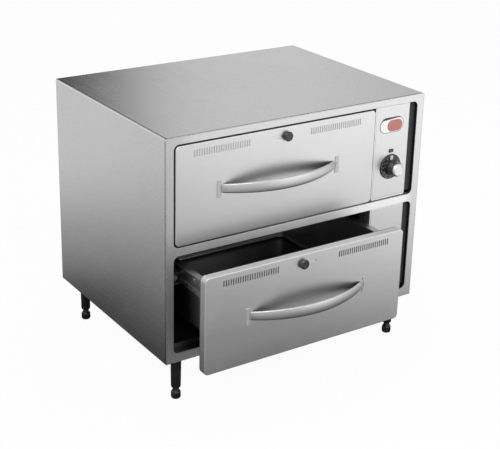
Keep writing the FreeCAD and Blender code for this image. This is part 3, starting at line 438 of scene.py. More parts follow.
def nylon(name):
    """Dark grey nylon: fine pitting, and lighter where it wears."""
    finish = Finish(name, Metallic=0.0)
    speck = finish.noise(700.0, 2.0)
    wear = finish.noise(80.0, 3.0).above(0.5, 0.7)
    base = finish.mix(wear, (0.16, 0.155, 0.15, 1.0), (0.26, 0.25, 0.24, 1.0))
    normal = finish.bump(speck, 0.1, 0.1 * MM)
    return finish.surface(Base_Color=base, Roughness=speck * 0.1 + 0.42, Normal=normal)


def bright_chrome(name, tone, roughness):
    """Spun bright metal under a faint haze."""
    finish = Finish(name, Metallic=1.0)
    haze = finish.noise(120.0, 3.0)
    base = finish.mix(haze, colour(tone - 0.05), colour(tone + 0.04))
    normal = finish.soft_edges(0.3 * MM)
    return finish.surface(Base_Color=base, Roughness=haze * 0.1 + roughness - 0.05, Normal=normal)


def print_ink(name, base_colour, roughness=0.45):
    """Printed or enamelled mark with a slightly uneven cover."""
    finish = Finish(name, Metallic=0.0)
    cover = finish.noise(900.0, 2.0)
    base = finish.mix(cover, colour(0.86, base_colour), colour(1.0, base_colour))
    return finish.surface(Base_Color=base, Roughness=cover * 0.1 + roughness)


# One finish for each material slot of the record.
FINISHES = {
    "stainless_shell": brushed_steel("brushed wrap", "Y", 0.68, 0.26, streak=0.03, edge=2.0 * MM, bite=0.05,
                                     marks=wrap_marks),
    "stainless_front": brushed_steel("brushed front", "X", 0.74, 0.38, streak=0.035, bite=0.07),
    "handle_steel": brushed_steel("brushed handle", "X", 0.62, 0.40, streak=0.015, edge=0.5 * MM, bite=0.02,
                                  across=200.0, marks=bow_marks),
    # The pan, the carrier sheet and the zinc keep their metal tones, set darker still as painted shade of the
    # cavity.
    "pan_steel": rolled_steel("drawn pan", 0.38, 0.32),
    "liner_steel": rolled_steel("carrier sheet", 0.16, 0.42),
    "plain_steel": rolled_steel("plain sheet", 0.56, 0.40),
    "zinc_steel": zinc_plate("zinc plate"),
    "screw_steel": rolled_steel("screw steel", 0.58, 0.30),
    "plate_satin": bright_chrome("satin plate", 0.84, 0.30),
    "mineral_wool": mineral_wool("mineral wool"),
    "element_sheath": element_sheath("heater sheath"),
    "ceramic": ceramic("terminal ceramic"),
    "black_nylon": moulded_black("black nylon", 0.03, 0.5),
    "black_knob": moulded_black("knob phenolic", 0.012, 0.28, coat=0.4),
    "cap_chrome": bright_chrome("bright cap", 0.80, 0.30),
    "pilot_amber": lamp_lens("pilot lens"),
    "black_paint": black_enamel("black enamel"),
    "black_foot": moulded_black("foot plastic", 0.010, 0.40, coat=0.1),
    "silicone": silicone("silicone seal"),
    "roller_nylon": nylon("roller nylon"),
}

# Finishes of single nodes and pieces.
FRAME_STEEL = brushed_steel("brushed frame", "X", 0.78, 0.52, streak=0.035, bite=0.07, marks=frame_marks)
# Near-black liner: painted shade of the deep cavity.
CAVITY_SHADE = rolled_steel("cavity shade sheet", 0.10, 0.50)
# Shutter paler than plain sheet: painted light that lifts the shade seen through the vent slots.
SLIDE_PAINTED_LIGHT = rolled_steel("slide sheet painted light", 0.80, 0.46)
# Seam beads paler than the front: painted light that lifts the shade in the seams.
BEAD_PAINTED_LIGHT = rolled_steel("seam bead painted light", 0.92, 0.42)
TAB_STEEL = rolled_steel("handle tab", 0.66, 0.60)
# Near-black back of the bow: painted shade that darkens its reflection in the drawer front.
HANDLE_BACK_SHADE = brushed_steel("handle back shade", "X", 0.04, 0.50, streak=0.02, edge=0.5 * MM, bite=0.02,
                            across=200.0)
OWN_FINISH = {"front_frame": FRAME_STEEL, "liner": CAVITY_SHADE, "vent_shutter": SLIDE_PAINTED_LIGHT}
MARK_WHITE = print_ink("dial white", (0.72, 0.72, 0.70))
# Black strip in the slot: painted shade of the gap's inside.
SLOT_SHADE = ribbed_black("slot shade")
INK_DARK = print_ink("rim black", (0.05, 0.05, 0.055), roughness=0.35)
ENAMEL_RED = print_ink("field red", (0.52, 0.19, 0.17), roughness=0.30)


def dress_nodes():
    """Give every carried-over node the finish of its slot, or its own where it has one."""
    for row in frame["record"]["subparts"]:
        node = frame["nodes"][row["node"]]
        node.data.materials.clear()
        part = row["node"].split("_", 1)[1] if row["node"].startswith(LEVELS) else row["node"]
        node.data.materials.append(OWN_FINISH.get(part, FINISHES[row["material_slot"]]))


# ------------------------------------------------------------------ surfaces
CORNER_SHARE = 0.42
GUARD_REACH = 1.12
GUARD_GAP = 1e-4
GUARD_SLIDE = 0.2
GUARD_SHARE = 0.1
INNER_RING = 2.5
LEAST_R = 0.01
TINY = 1e-9
MERGE_GAP = 1e-6


def eased(points, reach, steps=5, closed=False):
    """Path with rounded corners, in any number of dimensions.

    Each corner p becomes the parabola (1-t)^2 a + 2t(1-t) p + t^2 b, where a and b lie `reach` before and
    after it, with a guard point just outside each end so that what is flat stays flat when shaded."""
    points = np.asarray(points, float)
    before = np.roll(points, 1, 0) - points
    after = np.roll(points, -1, 0) - points
    span_before = np.maximum(np.linalg.norm(before, axis=1), TINY)
    span_after = np.maximum(np.linalg.norm(after, axis=1), TINY)
    reach = np.minimum(np.broadcast_to(np.asarray(reach, float), span_before.shape),
                       CORNER_SHARE * np.minimum(span_before, span_after))
    guard = reach * GUARD_REACH + GUARD_GAP
    unit_before = before / span_before[:, None]
    unit_after = after / span_after[:, None]
    t = np.linspace(0, 1, steps)[None, :, None]
    start = (points + unit_before * reach[:, None])[:, None]
    end = (points + unit_after * reach[:, None])[:, None]
    arc = (1 - t) ** 2 * start + 2 * t * (1 - t) * points[:, None] + t ** 2 * end
    lead = (points + unit_before * guard[:, None])[:, None]
    tail = (points + unit_after * guard[:, None])[:, None]
    groups = np.concatenate([lead, arc, tail], 1)
    if closed:
        return groups.reshape(-1, points.shape[1])
    return np.concatenate([points[:1], groups[1:-1].reshape(-1, points.shape[1]), points[-1:]])


def lathe(profile, base, axis, sides=96):
    """Grid of a profile turned about an axis: base + r (cos a, sin a) across it + h along it."""
    radius, height = np.asarray(profile, float).T
    angle = np.linspace(0, 2 * np.pi, sides, endpoint=False)
    along = np.asarray(axis, float)
    across = np.cross(along, UPWARD if abs(along[2]) < 0.5 else RIGHTWARD)
    third = np.cross(along, across)
    ring = np.cos(angle)[:, None] * across + np.sin(angle)[:, None] * third
    return (np.asarray(base, float) + radius[:, None, None] * ring + height[:, None, None] * along,
            False, True)


def rounded_rings(rows, steps=9):
    """Grid of rounded rectangles, one per row (x0, x1, y0, y1, corner radius, z): four quarter arcs
    (x, y) = corner centre + r (cos a, sin a), with a guard point on the straight side of each arc end."""
    x0, x1, y0, y1, radius, z = np.asarray(rows, float).T[:, :, None]
    quarter = np.linspace(0, np.pi / 2, steps)
    angle = (quarter[None, :] + np.arange(4)[:, None] * np.pi / 2).reshape(-1)
    east = np.repeat([1, 0, 0, 1], steps)
    north = np.repeat([1, 1, 0, 0], steps)
    slide = np.tile(np.r_[-1.0, np.zeros(steps - 2), 1.0], 4)
    guard = slide * np.minimum(GUARD_SLIDE, GUARD_SHARE * radius)
    x = np.where(east, x1 - radius, x0 + radius) + radius * np.cos(angle) - guard * np.sin(angle)
    y = np.where(north, y1 - radius, y0 + radius) + radius * np.sin(angle) + guard * np.cos(angle)
    return np.stack([x, y, z + 0 * x], -1)


def plate_rings(width, height, corner, front, back, edge):
    """Rounded plate that faces -Y about the origin: rings grow from the middle of the front, pass over an
    eased edge and shrink to the middle of the back."""
    w, h = width / 2, height / 2
    m = INNER_RING * edge
    rows = eased([(0, 0, 0, 0, 0, front), (m - w, w - m, m - h, h - m, max(corner - m, LEAST_R), front),
                  (-w, w, -h, h, corner, front), (-w, w, -h, h, corner, back), (0, 0, 0, 0, 0, back)],
                 [0, edge, edge, edge * 0.5, 0])
    x, z, y = np.moveaxis(rounded_rings(rows), -1, 0)
    return np.stack([x, y, z], -1), False, True


def shifted(grid, at):
    """The same grid moved to another place."""
    points, wrap_rows, wrap_columns = grid
    return points + np.asarray(at, float), wrap_rows, wrap_columns


def boxes(lows, highs):
    """Closed boxes from arrays of lowest and highest corners, as grids of rings round the X axis."""
    lows, highs = np.asarray(lows, float), np.asarray(highs, float)
    share = np.array([[0, .5, .5], [0, 0, 0], [0, 1, 0], [0, 1, 1], [0, 0, 1],
                      [1, 0, 0], [1, 1, 0], [1, 1, 1], [1, 0, 1], [1, .5, .5]])
    order = np.array([[0, 0, 0, 0], [1, 2, 3, 4], [5, 6, 7, 8], [9, 9, 9, 9]])
    points = lows[:, None] + share[None] * (highs - lows)[:, None]
    return [(corner[order], False, True) for corner in points]


def strokes(lines, width, front, back):
    """Thin raised strokes on a face that looks to -Y. Each line (x0, z0, x1, z1) becomes a flat box: its
    corners lie half a width to each side of the line and beyond its ends."""
    lines = np.asarray(lines, float)
    start, end = lines[:, :2], lines[:, 2:]
    along = (end - start) / np.linalg.norm(end - start, axis=1)[:, None]
    side = np.stack([-along[:, 1], along[:, 0]], -1) * width / 2
    start, end = start - along * width / 2, end + along * width / 2
    flat = np.stack([start - side, start + side, end + side, end - side], 1)
    rings = []
    for y, shrink in ((front, 0.0), (front, 1.0), (back, 1.0), (back, 0.0)):
        middle = flat.mean(1, keepdims=True)
        corner = middle + (flat - middle) * shrink
        rings.append(np.stack([corner[..., 0], np.full(corner.shape[:2], y), corner[..., 1]], -1))
    grid = np.stack(rings, 1)
    return [(one, False, True) for one in grid]


def grid_quads(number):
    """Corner numbers of every face of a grid of numbered points, four to a face."""
    return np.stack([number[:-1, :-1], number[1:, :-1], number[1:, 1:], number[:-1, 1:]], -1).reshape(-1, 4)


def new_object(name, points, quads, finish):
    """Object at the origin whose mesh holds points in metres."""
    mesh = bpy.data.meshes.new(name)
    mesh.from_pydata(points.tolist(), [], quads.tolist())
    mesh.materials.append(finish)
    made = bpy.data.objects.new(name, mesh)
    bpy.context.scene.collection.objects.link(made)
    return made


def add_piece(name, grids, slot, body, replaces=(), finish=None):
    """One smooth closed mesh from grids in millimetres: poles merge, faces turn outwards, and the piece
    rides on a body and stands for the nodes that it replaces."""
    points, quads, start = [], [], 0
    for grid, wrap_rows, wrap_columns in grids:
        rows, columns, _ = grid.shape
        number = start + np.arange(rows * columns).reshape(rows, columns)
        if wrap_rows:
            number = np.vstack([number, number[:1]])
        if wrap_columns:
            number = np.hstack([number, number[:, :1]])
        quads.append(grid_quads(number))
        points.append(grid.reshape(-1, 3))
        start += rows * columns
    finish = finish or FINISHES[slot]
    piece = new_object(name, np.concatenate(points) * MM, np.concatenate(quads), finish)
    mesh = piece.data
    work = bmesh.new()
    work.from_mesh(mesh)
    bmesh.ops.remove_doubles(work, verts=work.verts, dist=MERGE_GAP)
    bmesh.ops.recalc_face_normals(work, faces=work.faces)
    work.to_mesh(mesh)
    work.free()
    mesh.polygons.foreach_set("use_smooth", np.full(len(mesh.polygons), True))
    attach(piece, body)
    if replaces:
        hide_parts(*replaces)
    return piece


def node_box(node):
    """Lowest and highest corner of a CAD node, in millimetres."""
    low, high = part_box(node)
    return np.array(low) / MM, np.array(high) / MM


def node_middle(node):
    """Middle of a CAD node's box, in millimetres."""
    low, high = node_box(node)
    return (low + high) / 2


# ------------------------------------------------------------------ handles
HANDLE_SPAN = 332.0
HANDLE_REACH = 48.0
HANDLE_H = 28.0
HANDLE_END_H = 22.0
HANDLE_T = 5.0
HANDLE_CROWN = 2.5
HANDLE_TRIM = 1.0
HANDLE_EDGE = 2.3
HANDLE_SINK = 0.5
BOW_STATIONS = 161
BOW_FRONT_STEPS = 19
BOW_BACK_STEPS = 5
BOW_EDGE_STEPS = 6
TAB_W = 11.0
TAB_H = 43.0
TAB_T = 2.0
TAB_CORNER = 3.0
TAB_LAP = 2.0
TAB_EDGE = 0.5
TAB_SINK = 0.3
ROOT_W = HANDLE_T + 4.0
ROOT_H = HANDLE_END_H * 0.8
ROOT_CORNER = 1.0
ROOT_EDGE = 0.3
BACK_FACING = 0.7


def bow_band(middle, face):
    """Bow handle. Along x the band's half height a follows a flat arc, then a tight end arc. Its front is
    y = axis - sqrt((R - crown (v/k)^2)^2 - x^2), its back y = axis - sqrt((R - T)^2 - x^2), and each
    station is a rounded rectangle between the two: v is the height on it, and w the depth behind the front.
    The ends run into the face plate."""
    half, h, e = HANDLE_SPAN / 2, HANDLE_H / 2, HANDLE_END_H / 2
    bow_r = (half ** 2 + HANDLE_REACH ** 2) / (2 * HANDLE_REACH)
    axis = face - HANDLE_REACH + bow_r
    x = half * np.sin(np.linspace(-np.pi / 2, np.pi / 2, BOW_STATIONS))
    end_x = half - e
    flat_r = (end_x ** 2 + (h - e) ** 2) / (2 * (h - e))
    d = half + HANDLE_TRIM - end_x
    end_r = (d ** 2 + e ** 2) / (2 * d)
    tail = np.clip(np.abs(x) - (half + HANDLE_TRIM - end_r), 0, end_r)
    flat_arc = h - flat_r + np.sqrt(flat_r ** 2 - x ** 2)
    a = np.where(np.abs(x) < end_x, flat_arc, np.sqrt(end_r ** 2 - tail ** 2))
    corner = np.linspace(0, np.pi / 2, BOW_EDGE_STEPS)
    level = np.linspace(-1, 1, BOW_FRONT_STEPS)
    low = np.linspace(1, -1, BOW_BACK_STEPS)
    full = np.ones(BOW_EDGE_STEPS)
    sign = np.r_[level, full, full, low, -full, -full]
    out = HANDLE_EDGE * np.r_[0 * level, np.sin(corner), np.cos(corner), 0 * low,
                              -np.sin(corner), -np.cos(corner)]
    side = np.r_[0 * level, 0 * full, full, 0 * low + 1, full, 0 * full]
    depth = HANDLE_EDGE * np.r_[0 * level, 1 - np.cos(corner), np.sin(corner) - 1, 0 * low,
                                np.cos(corner) - 1, 1 - np.sin(corner)]
    v = sign * (a[:, None] - HANDLE_EDGE) + out
    w = side * HANDLE_T + depth
    crown = HANDLE_CROWN * (v / (h + HANDLE_TRIM)) ** 2
    front = axis - np.sqrt((bow_r - crown) ** 2 - x[:, None] ** 2)
    back = axis - np.sqrt((bow_r - HANDLE_T) ** 2 - x[:, None] ** 2)
    y = np.minimum(front + (back - front) * w / HANDLE_T, face + HANDLE_SINK)
    points = np.stack([middle[0] + x[:, None] + 0 * y, y, middle[2] + v], -1)
    caps = points.mean(1, keepdims=True) + 0 * points
    return np.concatenate([caps[:1], points, caps[-1:]]), False, True


def make_handle(level):
    """Bow whose back faces are near-black as painted shade, and at each end a tab and the root that the bow
    grows from.
    """
    node = level + "_handle"
    middle = node_middle(node)
    face = node_box(level + "_drawer_front")[0][1]
    body = level + "_drawer"
    bow = add_piece(level + "_bow", [bow_band(middle, face)], "handle_steel", body, [node])
    normals = np.empty(len(bow.data.polygons) * 3)
    bow.data.polygons.foreach_get("normal", normals)
    # Faces that look back take the near-black painted shade finish.
    bow.data.materials.append(HANDLE_BACK_SHADE)
    bow.data.polygons.foreach_set("material_index", (normals[1::3] > BACK_FACING).astype(int))
    half = HANDLE_SPAN / 2
    tab = plate_rings(TAB_W, TAB_H, TAB_CORNER, -TAB_T, TAB_SINK, TAB_EDGE)
    root = plate_rings(ROOT_W, ROOT_H, ROOT_CORNER, -TAB_T, TAB_SINK, ROOT_EDGE)
    tabs = [shifted(plate, (middle[0] + side * reach, face, middle[2]))
            for plate, reach in ((tab, half - TAB_LAP + TAB_W / 2), (root, half - ROOT_W / 2))
            for side in (-1, 1)]
    add_piece(level + "_handle_tabs", tabs, "stainless_front", body, finish=TAB_STEEL)


# ------------------------------------------------------------------ knobs, pilot lights and name plate
SKIRT_R = 33.0
SKIRT_T = 3.2
SKIRT_BEVEL = 1.5
GRIP_FOOT_R = 20.0
GRIP_R = 18.5
GRIP_REACH = 29.0
FLUTES = 14
FLUTE_R = 2.4
FLUTE_DEPTH = 1.1
POINTER_W = 8.0
POINTER_H = 2.0
CAP_R = 17.0
CAP_T = 6.0
CAP_BEVEL = 2.5
BORE_R = 3.05
BORE_L = 20.5
FLUTE_STEPS = 14
FLUTE_ROWS = 8
GRIP_LIP = 1.4
FLUTE_LEAD = 0.05
FLUTE_CLEAR = 0.1
CAP_RING = 4.2
CAP_DISH = 4.8
POINTER_LAP = 1.5
NUMBERS = 10
DIGIT_PITCH = 3
DIGIT_HALF_H = 2
NUMBER_R = 25.0
NUMBER_SCALE = 0.72
NUMBER_STROKE = 0.42
TICKS = 41
TICKS_APART = 4
TICK_R = 30.7
TICK_LONG_R = 28.0
TICK_SHORT_R = 29.4
TICK_STROKE = 0.5
FIRST_TURN = 30
FIRST_NUMBER_TURN = 60
LAST_TURN = 330
INK_T = 0.12
INK_SINK = 0.05

# Strokes (x0, z0, x1, z1) of each digit, on a grid 2 wide and 4 high.
DIGITS = {
    "0": [(0, 0, 2, 0), (2, 0, 2, 4), (2, 4, 0, 4), (0, 4, 0, 0)],
    "1": [(1, 0, 1, 4), (1, 4, 0.2, 3.2)],
    "2": [(0, 4, 2, 4), (2, 4, 2, 2), (2, 2, 0, 2), (0, 2, 0, 0), (0, 0, 2, 0)],
    "3": [(0, 4, 2, 4), (2, 4, 2, 0), (2, 0, 0, 0), (0.4, 2, 2, 2)],
    "4": [(0, 4, 0, 2), (0, 2, 2, 2), (2, 4, 2, 0)],
    "5": [(2, 4, 0, 4), (0, 4, 0, 2), (0, 2, 2, 2), (2, 2, 2, 0), (2, 0, 0, 0)],
    "6": [(2, 4, 0, 4), (0, 4, 0, 0), (0, 0, 2, 0), (2, 0, 2, 2), (2, 2, 0, 2)],
    "7": [(0, 4, 2, 4), (2, 4, 0.7, 0)],
    "8": [(0, 0, 2, 0), (2, 0, 2, 4), (2, 4, 0, 4), (0, 4, 0, 0), (0, 2, 2, 2)],
    "9": [(2, 2, 0, 2), (0, 2, 0, 4), (0, 4, 2, 4), (2, 4, 2, 0), (2, 0, 0, 0)],
}


def fluted_knob(base):
    """Turned knob on its blind bore, with a fluted grip: beyond the skirt the radius is the smaller of the
    profile and R cos b - sqrt(f^2 - R^2 sin^2 b), the near wall of a flute of radius f at ring radius R and
    angle b away."""
    profile = eased([(BORE_R, 0), (SKIRT_R - 1, 0), (SKIRT_R, 1), (SKIRT_R - SKIRT_BEVEL, SKIRT_T),
                     (GRIP_FOOT_R, SKIRT_T), (GRIP_R, GRIP_REACH), (0, GRIP_REACH)],
                    [0, 0.3, 0.4, 0.5, 1.0, 1.2, 0])
    start = SKIRT_T + POINTER_H
    level = np.linspace(start, GRIP_REACH - GRIP_LIP, FLUTE_ROWS)
    wall = np.stack([np.interp(level, [SKIRT_T, GRIP_REACH], [GRIP_FOOT_R, GRIP_R]), level], -1)
    cut = np.searchsorted(profile[:, 1], start)
    above = profile[cut:]
    tail = above[above[:, 1] > GRIP_REACH - GRIP_LIP + FLUTE_CLEAR]
    seat = np.array([[0.0, BORE_L], [BORE_R, BORE_L]])
    profile = np.concatenate([seat, profile[:cut], wall[:1] - (0, FLUTE_LEAD), wall, tail])
    sides = FLUTES * FLUTE_STEPS
    grid, _, _ = lathe(profile, base, FORWARD, sides)
    angle = np.linspace(0, 2 * np.pi, sides, endpoint=False)
    apart = (angle * FLUTES / (2 * np.pi)) % 1.0
    b = (apart - 0.5) * 2 * np.pi / FLUTES
    ring = GRIP_FOOT_R - FLUTE_DEPTH + FLUTE_R
    inside = FLUTE_R ** 2 - (ring * np.sin(b)) ** 2
    wall_r = np.where(inside > 0, ring * np.cos(b) - np.sqrt(np.maximum(inside, 0)), np.inf)
    radius = profile[:, 0][:, None]
    fluted = (profile[:, 1][:, None] >= start) & (radius > BORE_R)
    share = np.where(fluted, np.minimum(radius, wall_r) / np.maximum(radius, TINY), 1.0)
    axis_points = np.asarray(base)[None, None] + profile[:, 1][:, None, None] * np.asarray(FORWARD)
    return axis_points + (grid - axis_points) * share[..., None], False, True


def dial_marks(centre, front):
    """Printed scale on the skirt. A tick at turn a runs along (sin a, cos a) from one radius to another, and
    each plain number is written in straight strokes about its place on the number ring."""
    turn = np.radians(np.linspace(FIRST_TURN, LAST_TURN, TICKS))
    inner = np.where(np.arange(TICKS) % TICKS_APART == 0, TICK_LONG_R, TICK_SHORT_R)
    direction = np.stack([np.sin(turn), np.cos(turn)], -1)
    ticks = np.concatenate([direction * inner[:, None], direction * TICK_R], 1)
    lines = []
    for k, angle in enumerate(np.radians(np.linspace(FIRST_NUMBER_TURN, LAST_TURN, NUMBERS))):
        word = str(k + 1)
        half = (len(word) * DIGIT_PITCH - 1) / 2
        at = NUMBER_R * np.array([math.sin(angle), math.cos(angle)])
        for place, digit in enumerate(word):
            middle = (half - DIGIT_PITCH * place, DIGIT_HALF_H)
            mark = (np.array(DIGITS[digit]).reshape(-1, 2, 2) - middle) * NUMBER_SCALE
            lines.append((mark + at).reshape(-1, 4))
    centre = np.tile(centre, 2)
    ink = (front - INK_T, front + INK_SINK)
    return (strokes(ticks + centre, TICK_STROKE, *ink)
            + strokes(np.concatenate(lines) + centre, NUMBER_STROKE, *ink))


def make_thermostat_knob(level):
    """Fluted knob on a bevelled skirt, with its pointer, its printed scale and a bright turned cap."""
    node = level + "_thermostat_knob"
    low, high = node_box(node)
    base = np.array([(low[0] + high[0]) / 2, high[1], (low[2] + high[2]) / 2])
    add_piece(level + "_knob", [fluted_knob(base)], "black_knob", node, [node])
    inner, outer = GRIP_FOOT_R - POINTER_LAP, SKIRT_R - 2 * SKIRT_BEVEL
    pointer = plate_rings(POINTER_W, outer - inner, corner=1.2, front=-POINTER_H, back=0.3, edge=0.4)
    reach = (outer + inner) / 2
    add_piece(level + "_knob_pointer", [shifted(pointer, base + (0, -SKIRT_T, reach))], "black_knob", node,
              finish=MARK_WHITE)
    add_piece(level + "_knob_scale", dial_marks(base[[0, 2]], base[1] - SKIRT_T), "black_knob", node,
              finish=MARK_WHITE)
    profile = eased([(0, 0), (CAP_R, 0), (CAP_R, CAP_T - CAP_BEVEL), (CAP_R - CAP_BEVEL, CAP_T),
                     (CAP_R - CAP_RING, CAP_T), (CAP_R - CAP_DISH, CAP_T - 0.7), (0, CAP_T - 0.4)],
                    [0, 0.2, 1.0, 0.8, 0.3, 0.3, 0])
    cap = lathe(profile, base + (0, -GRIP_REACH, 0), FORWARD)
    add_piece(level + "_knob_cap_turned", [cap], "cap_chrome", node, [level + "_knob_cap"])


VENT_KNOB_R = 12.0
VENT_KNOB_REACH = 10.0
VENT_KNOB_SIDES = 72
VENT_WAIST = 2.0
VENT_STEM_R = 3.0
TOUCH = 0.3


def make_vent_knob(level):
    """Small turned knob with a waist, a rolled rim and a shallow dish."""
    node = level + "_vent_knob"
    low, high = node_box(node)
    face = node_box(level + "_drawer_front")[0][1]
    base = np.array([(low[0] + high[0]) / 2, face, (low[2] + high[2]) / 2])
    stem = base[1] - high[1]
    r, reach = VENT_KNOB_R, VENT_KNOB_REACH
    waist = r - VENT_WAIST
    profile = eased([(0, stem), (VENT_STEM_R, stem), (VENT_STEM_R, TOUCH), (waist, TOUCH), (waist, 3), (r, 5),
                     (r, reach - 2), (r - 2, reach), (r - 4.5, reach), (0, reach - 0.8)],
                    [0, 0, 0.2, 0.4, 1.0, 0.8, 0.8, 0.8, 0.8, 0])
    add_piece(level + "_vent_knob_turned", [lathe(profile, base, FORWARD, VENT_KNOB_SIDES)], "black_knob",
              level + "_vent", [node])


LAMP_BODY_TRIM = 2.2
LENS_TRIM = 3.4
LENS_T = 0.9
LENS_CROWN = 0.35


def make_pilot_light(level):
    """Bezel with a crowned lens, over the lamp's body. The front of the lens comes forward by
    crown (1 - (x / half width)^2)."""
    node = level + "_pilot_light"
    low, high = node_box(node)
    face = node_box("front_frame")[0][1]
    x, z = (low[0] + high[0]) / 2, (low[2] + high[2]) / 2
    width, height = high[0] - low[0], high[2] - low[2]
    bezel = plate_rings(width, height, corner=1.2, front=low[1], back=face + 0.3, edge=0.4)
    body = plate_rings(width - LAMP_BODY_TRIM, height - LAMP_BODY_TRIM, corner=0.6, front=face + 0.2,
                       back=high[1], edge=0.2)
    lens = plate_rings(width - LENS_TRIM, height - LENS_TRIM, corner=0.8, front=low[1],
                       back=low[1] + LENS_T, edge=0.35)
    across = lens[0][..., 0] / ((width - LENS_TRIM) / 2)
    forward = lens[0][..., 1] < low[1] + LENS_T / 2
    lens[0][..., 1] -= LENS_CROWN * (1 - (across ** 2).clip(0, 1)) * forward
    bezel, body, lens = [shifted(plate, (x, 0, z)) for plate in (bezel, body, lens)]
    add_piece(level + "_pilot_bezel", [bezel, body], "pilot_amber", "cabinet", [node],
              finish=FINISHES["black_nylon"])
    add_piece(level + "_pilot_lens", [lens], "pilot_amber", "cabinet")


NAME_PLATE_R = 19.0
RIM_INSETS = (0.9, 2.0)
RIM_STEPS = 17
RIM_RISE = 0.16
RIM_SWELL = 5.5
RIM_SWELL_TURN = 0.25
FIELD_W = 48.0
FIELD_H = 30.0
FIELD_X = 10.0
FIELD_DROP = 2.5
FIELD_RISE = 0.18
PLATE_SINK = 0.1


def make_name_plate():
    """Blank stadium plate with a raised dark rim and a plain enamel field. At the angle a the inner edge of
    the rim drops by swell sin(a - turn)^3, so the rim is broader at the top."""
    low, high = node_box("name_plate")
    middle = (low + high) / 2
    width, height = high[0] - low[0], high[2] - low[2]
    at = (middle[0], 0, middle[2])
    plate = plate_rings(width, height, NAME_PLATE_R, front=low[1], back=high[1], edge=0.3)
    add_piece("name_plate_blank", [shifted(plate, at)], "plate_satin", "cabinet", ["name_plate"])
    w, h = width / 2, height / 2
    rings = rounded_rings([(i - w, w - i, i - h, h - i, NAME_PLATE_R - i, 0) for i in RIM_INSETS], RIM_STEPS)
    x, z = rings[..., 0], rings[..., 1]
    turn = np.arctan2(z[0] / height, x[0] / width)
    swell = np.clip(np.sin(turn - RIM_SWELL_TURN), 0, 1) ** 3 * RIM_SWELL
    z = np.stack([z[0], z[1] - swell])
    front, back = low[1] - RIM_RISE, low[1] + PLATE_SINK
    rim = np.stack([np.stack([x[i], np.full_like(x[i], y), z[i]], -1)
                    for i, y in ((0, back), (0, front), (1, front), (1, back))])
    add_piece("name_plate_rim", [shifted((rim, True, True), at)], "plate_satin", "cabinet", finish=INK_DARK)
    field = plate_rings(FIELD_W, FIELD_H, FIELD_H / 2 - 0.5, front=low[1] - FIELD_RISE,
                        back=low[1] + PLATE_SINK, edge=0.15)
    field_at = (middle[0] + FIELD_X, 0, middle[2] - FIELD_DROP)
    add_piece("name_plate_field", [shifted(field, field_at)], "plate_satin", "cabinet", finish=ENAMEL_RED)


# ------------------------------------------------------------------ strips round the control panels
BEAD_W = 2.6
BEAD_SETBACK = 0.1
LOWER_BEAD_H = 4.0
LOWER_BEAD_SETBACK = 2.5
BEAD_D = 8.0
BEAD_END = 0.5
SLOT_W = 25.0
SLOT_DEPTH = 10.0
SLOT_CORNER = 6.0
SLOT_END = 1.0


def make_seam_beads(level):
    """Steel beads that fill the seams beside and below the control panel, clear of the drawer, pale as
    painted light.
    """
    low, high = node_box(level + "_control_panel")
    middle = (low + high) / 2
    beside = plate_rings(BEAD_W, high[2] - low[2] - 2 * BEAD_END, corner=0.4, front=BEAD_SETBACK,
                         back=BEAD_D, edge=0.15)
    below = plate_rings(high[0] - low[0] - 2 * BEAD_END, LOWER_BEAD_H, corner=0.8, front=LOWER_BEAD_SETBACK,
                        back=BEAD_D, edge=0.3)
    add_piece(level + "_seam_beads", [shifted(beside, (low[0] - BEAD_W / 2, low[1], middle[2])),
                                      shifted(below, (middle[0], low[1], low[2] - LOWER_BEAD_H / 2))],
              "stainless_front", "cabinet", finish=BEAD_PAINTED_LIGHT)


def make_slot_strip(level):
    """Dark strip that closes the slot between the control panel and the stile, set back from the face:
    painted shade.
    """
    low, high = node_box(level + "_control_panel")
    strip = plate_rings(SLOT_W, high[2] - low[2] - 2 * SLOT_END, SLOT_CORNER, front=SLOT_DEPTH,
                        back=SLOT_DEPTH + SHEET, edge=0.3)
    add_piece(level + "_slot_strip", [shifted(strip, (high[0] + SLOT_W / 2, low[1], (low[2] + high[2]) / 2))],
              "black_nylon", "cabinet", finish=SLOT_SHADE)


# ------------------------------------------------------------------ legs and feet
LEG_TOP_R = 13.0
LEG_LOW_R = 12.0
LEG_FLANGE_R = 16.5
LEG_FLANGE_T = 2.5
LEG_STUD_R = 5.0
LEG_STUD_L = 12.0
LEG_BAND_H = 14.0
LEG_BORE_SPARE = 4.0
NUT_R = 9.0
NUT_H = 6.0
NUT_SIDES = 6
FOOT_R = 12.0
FOOT_H = 21.0
FOOT_STEM_R = 8.0
FOOT_STEM_TOP = 64.0
FOOT_TIP_R = 10.0
FOOT_SIDES = 72
THREAD_ROWS = 80
THREAD_DEPTH = 0.35


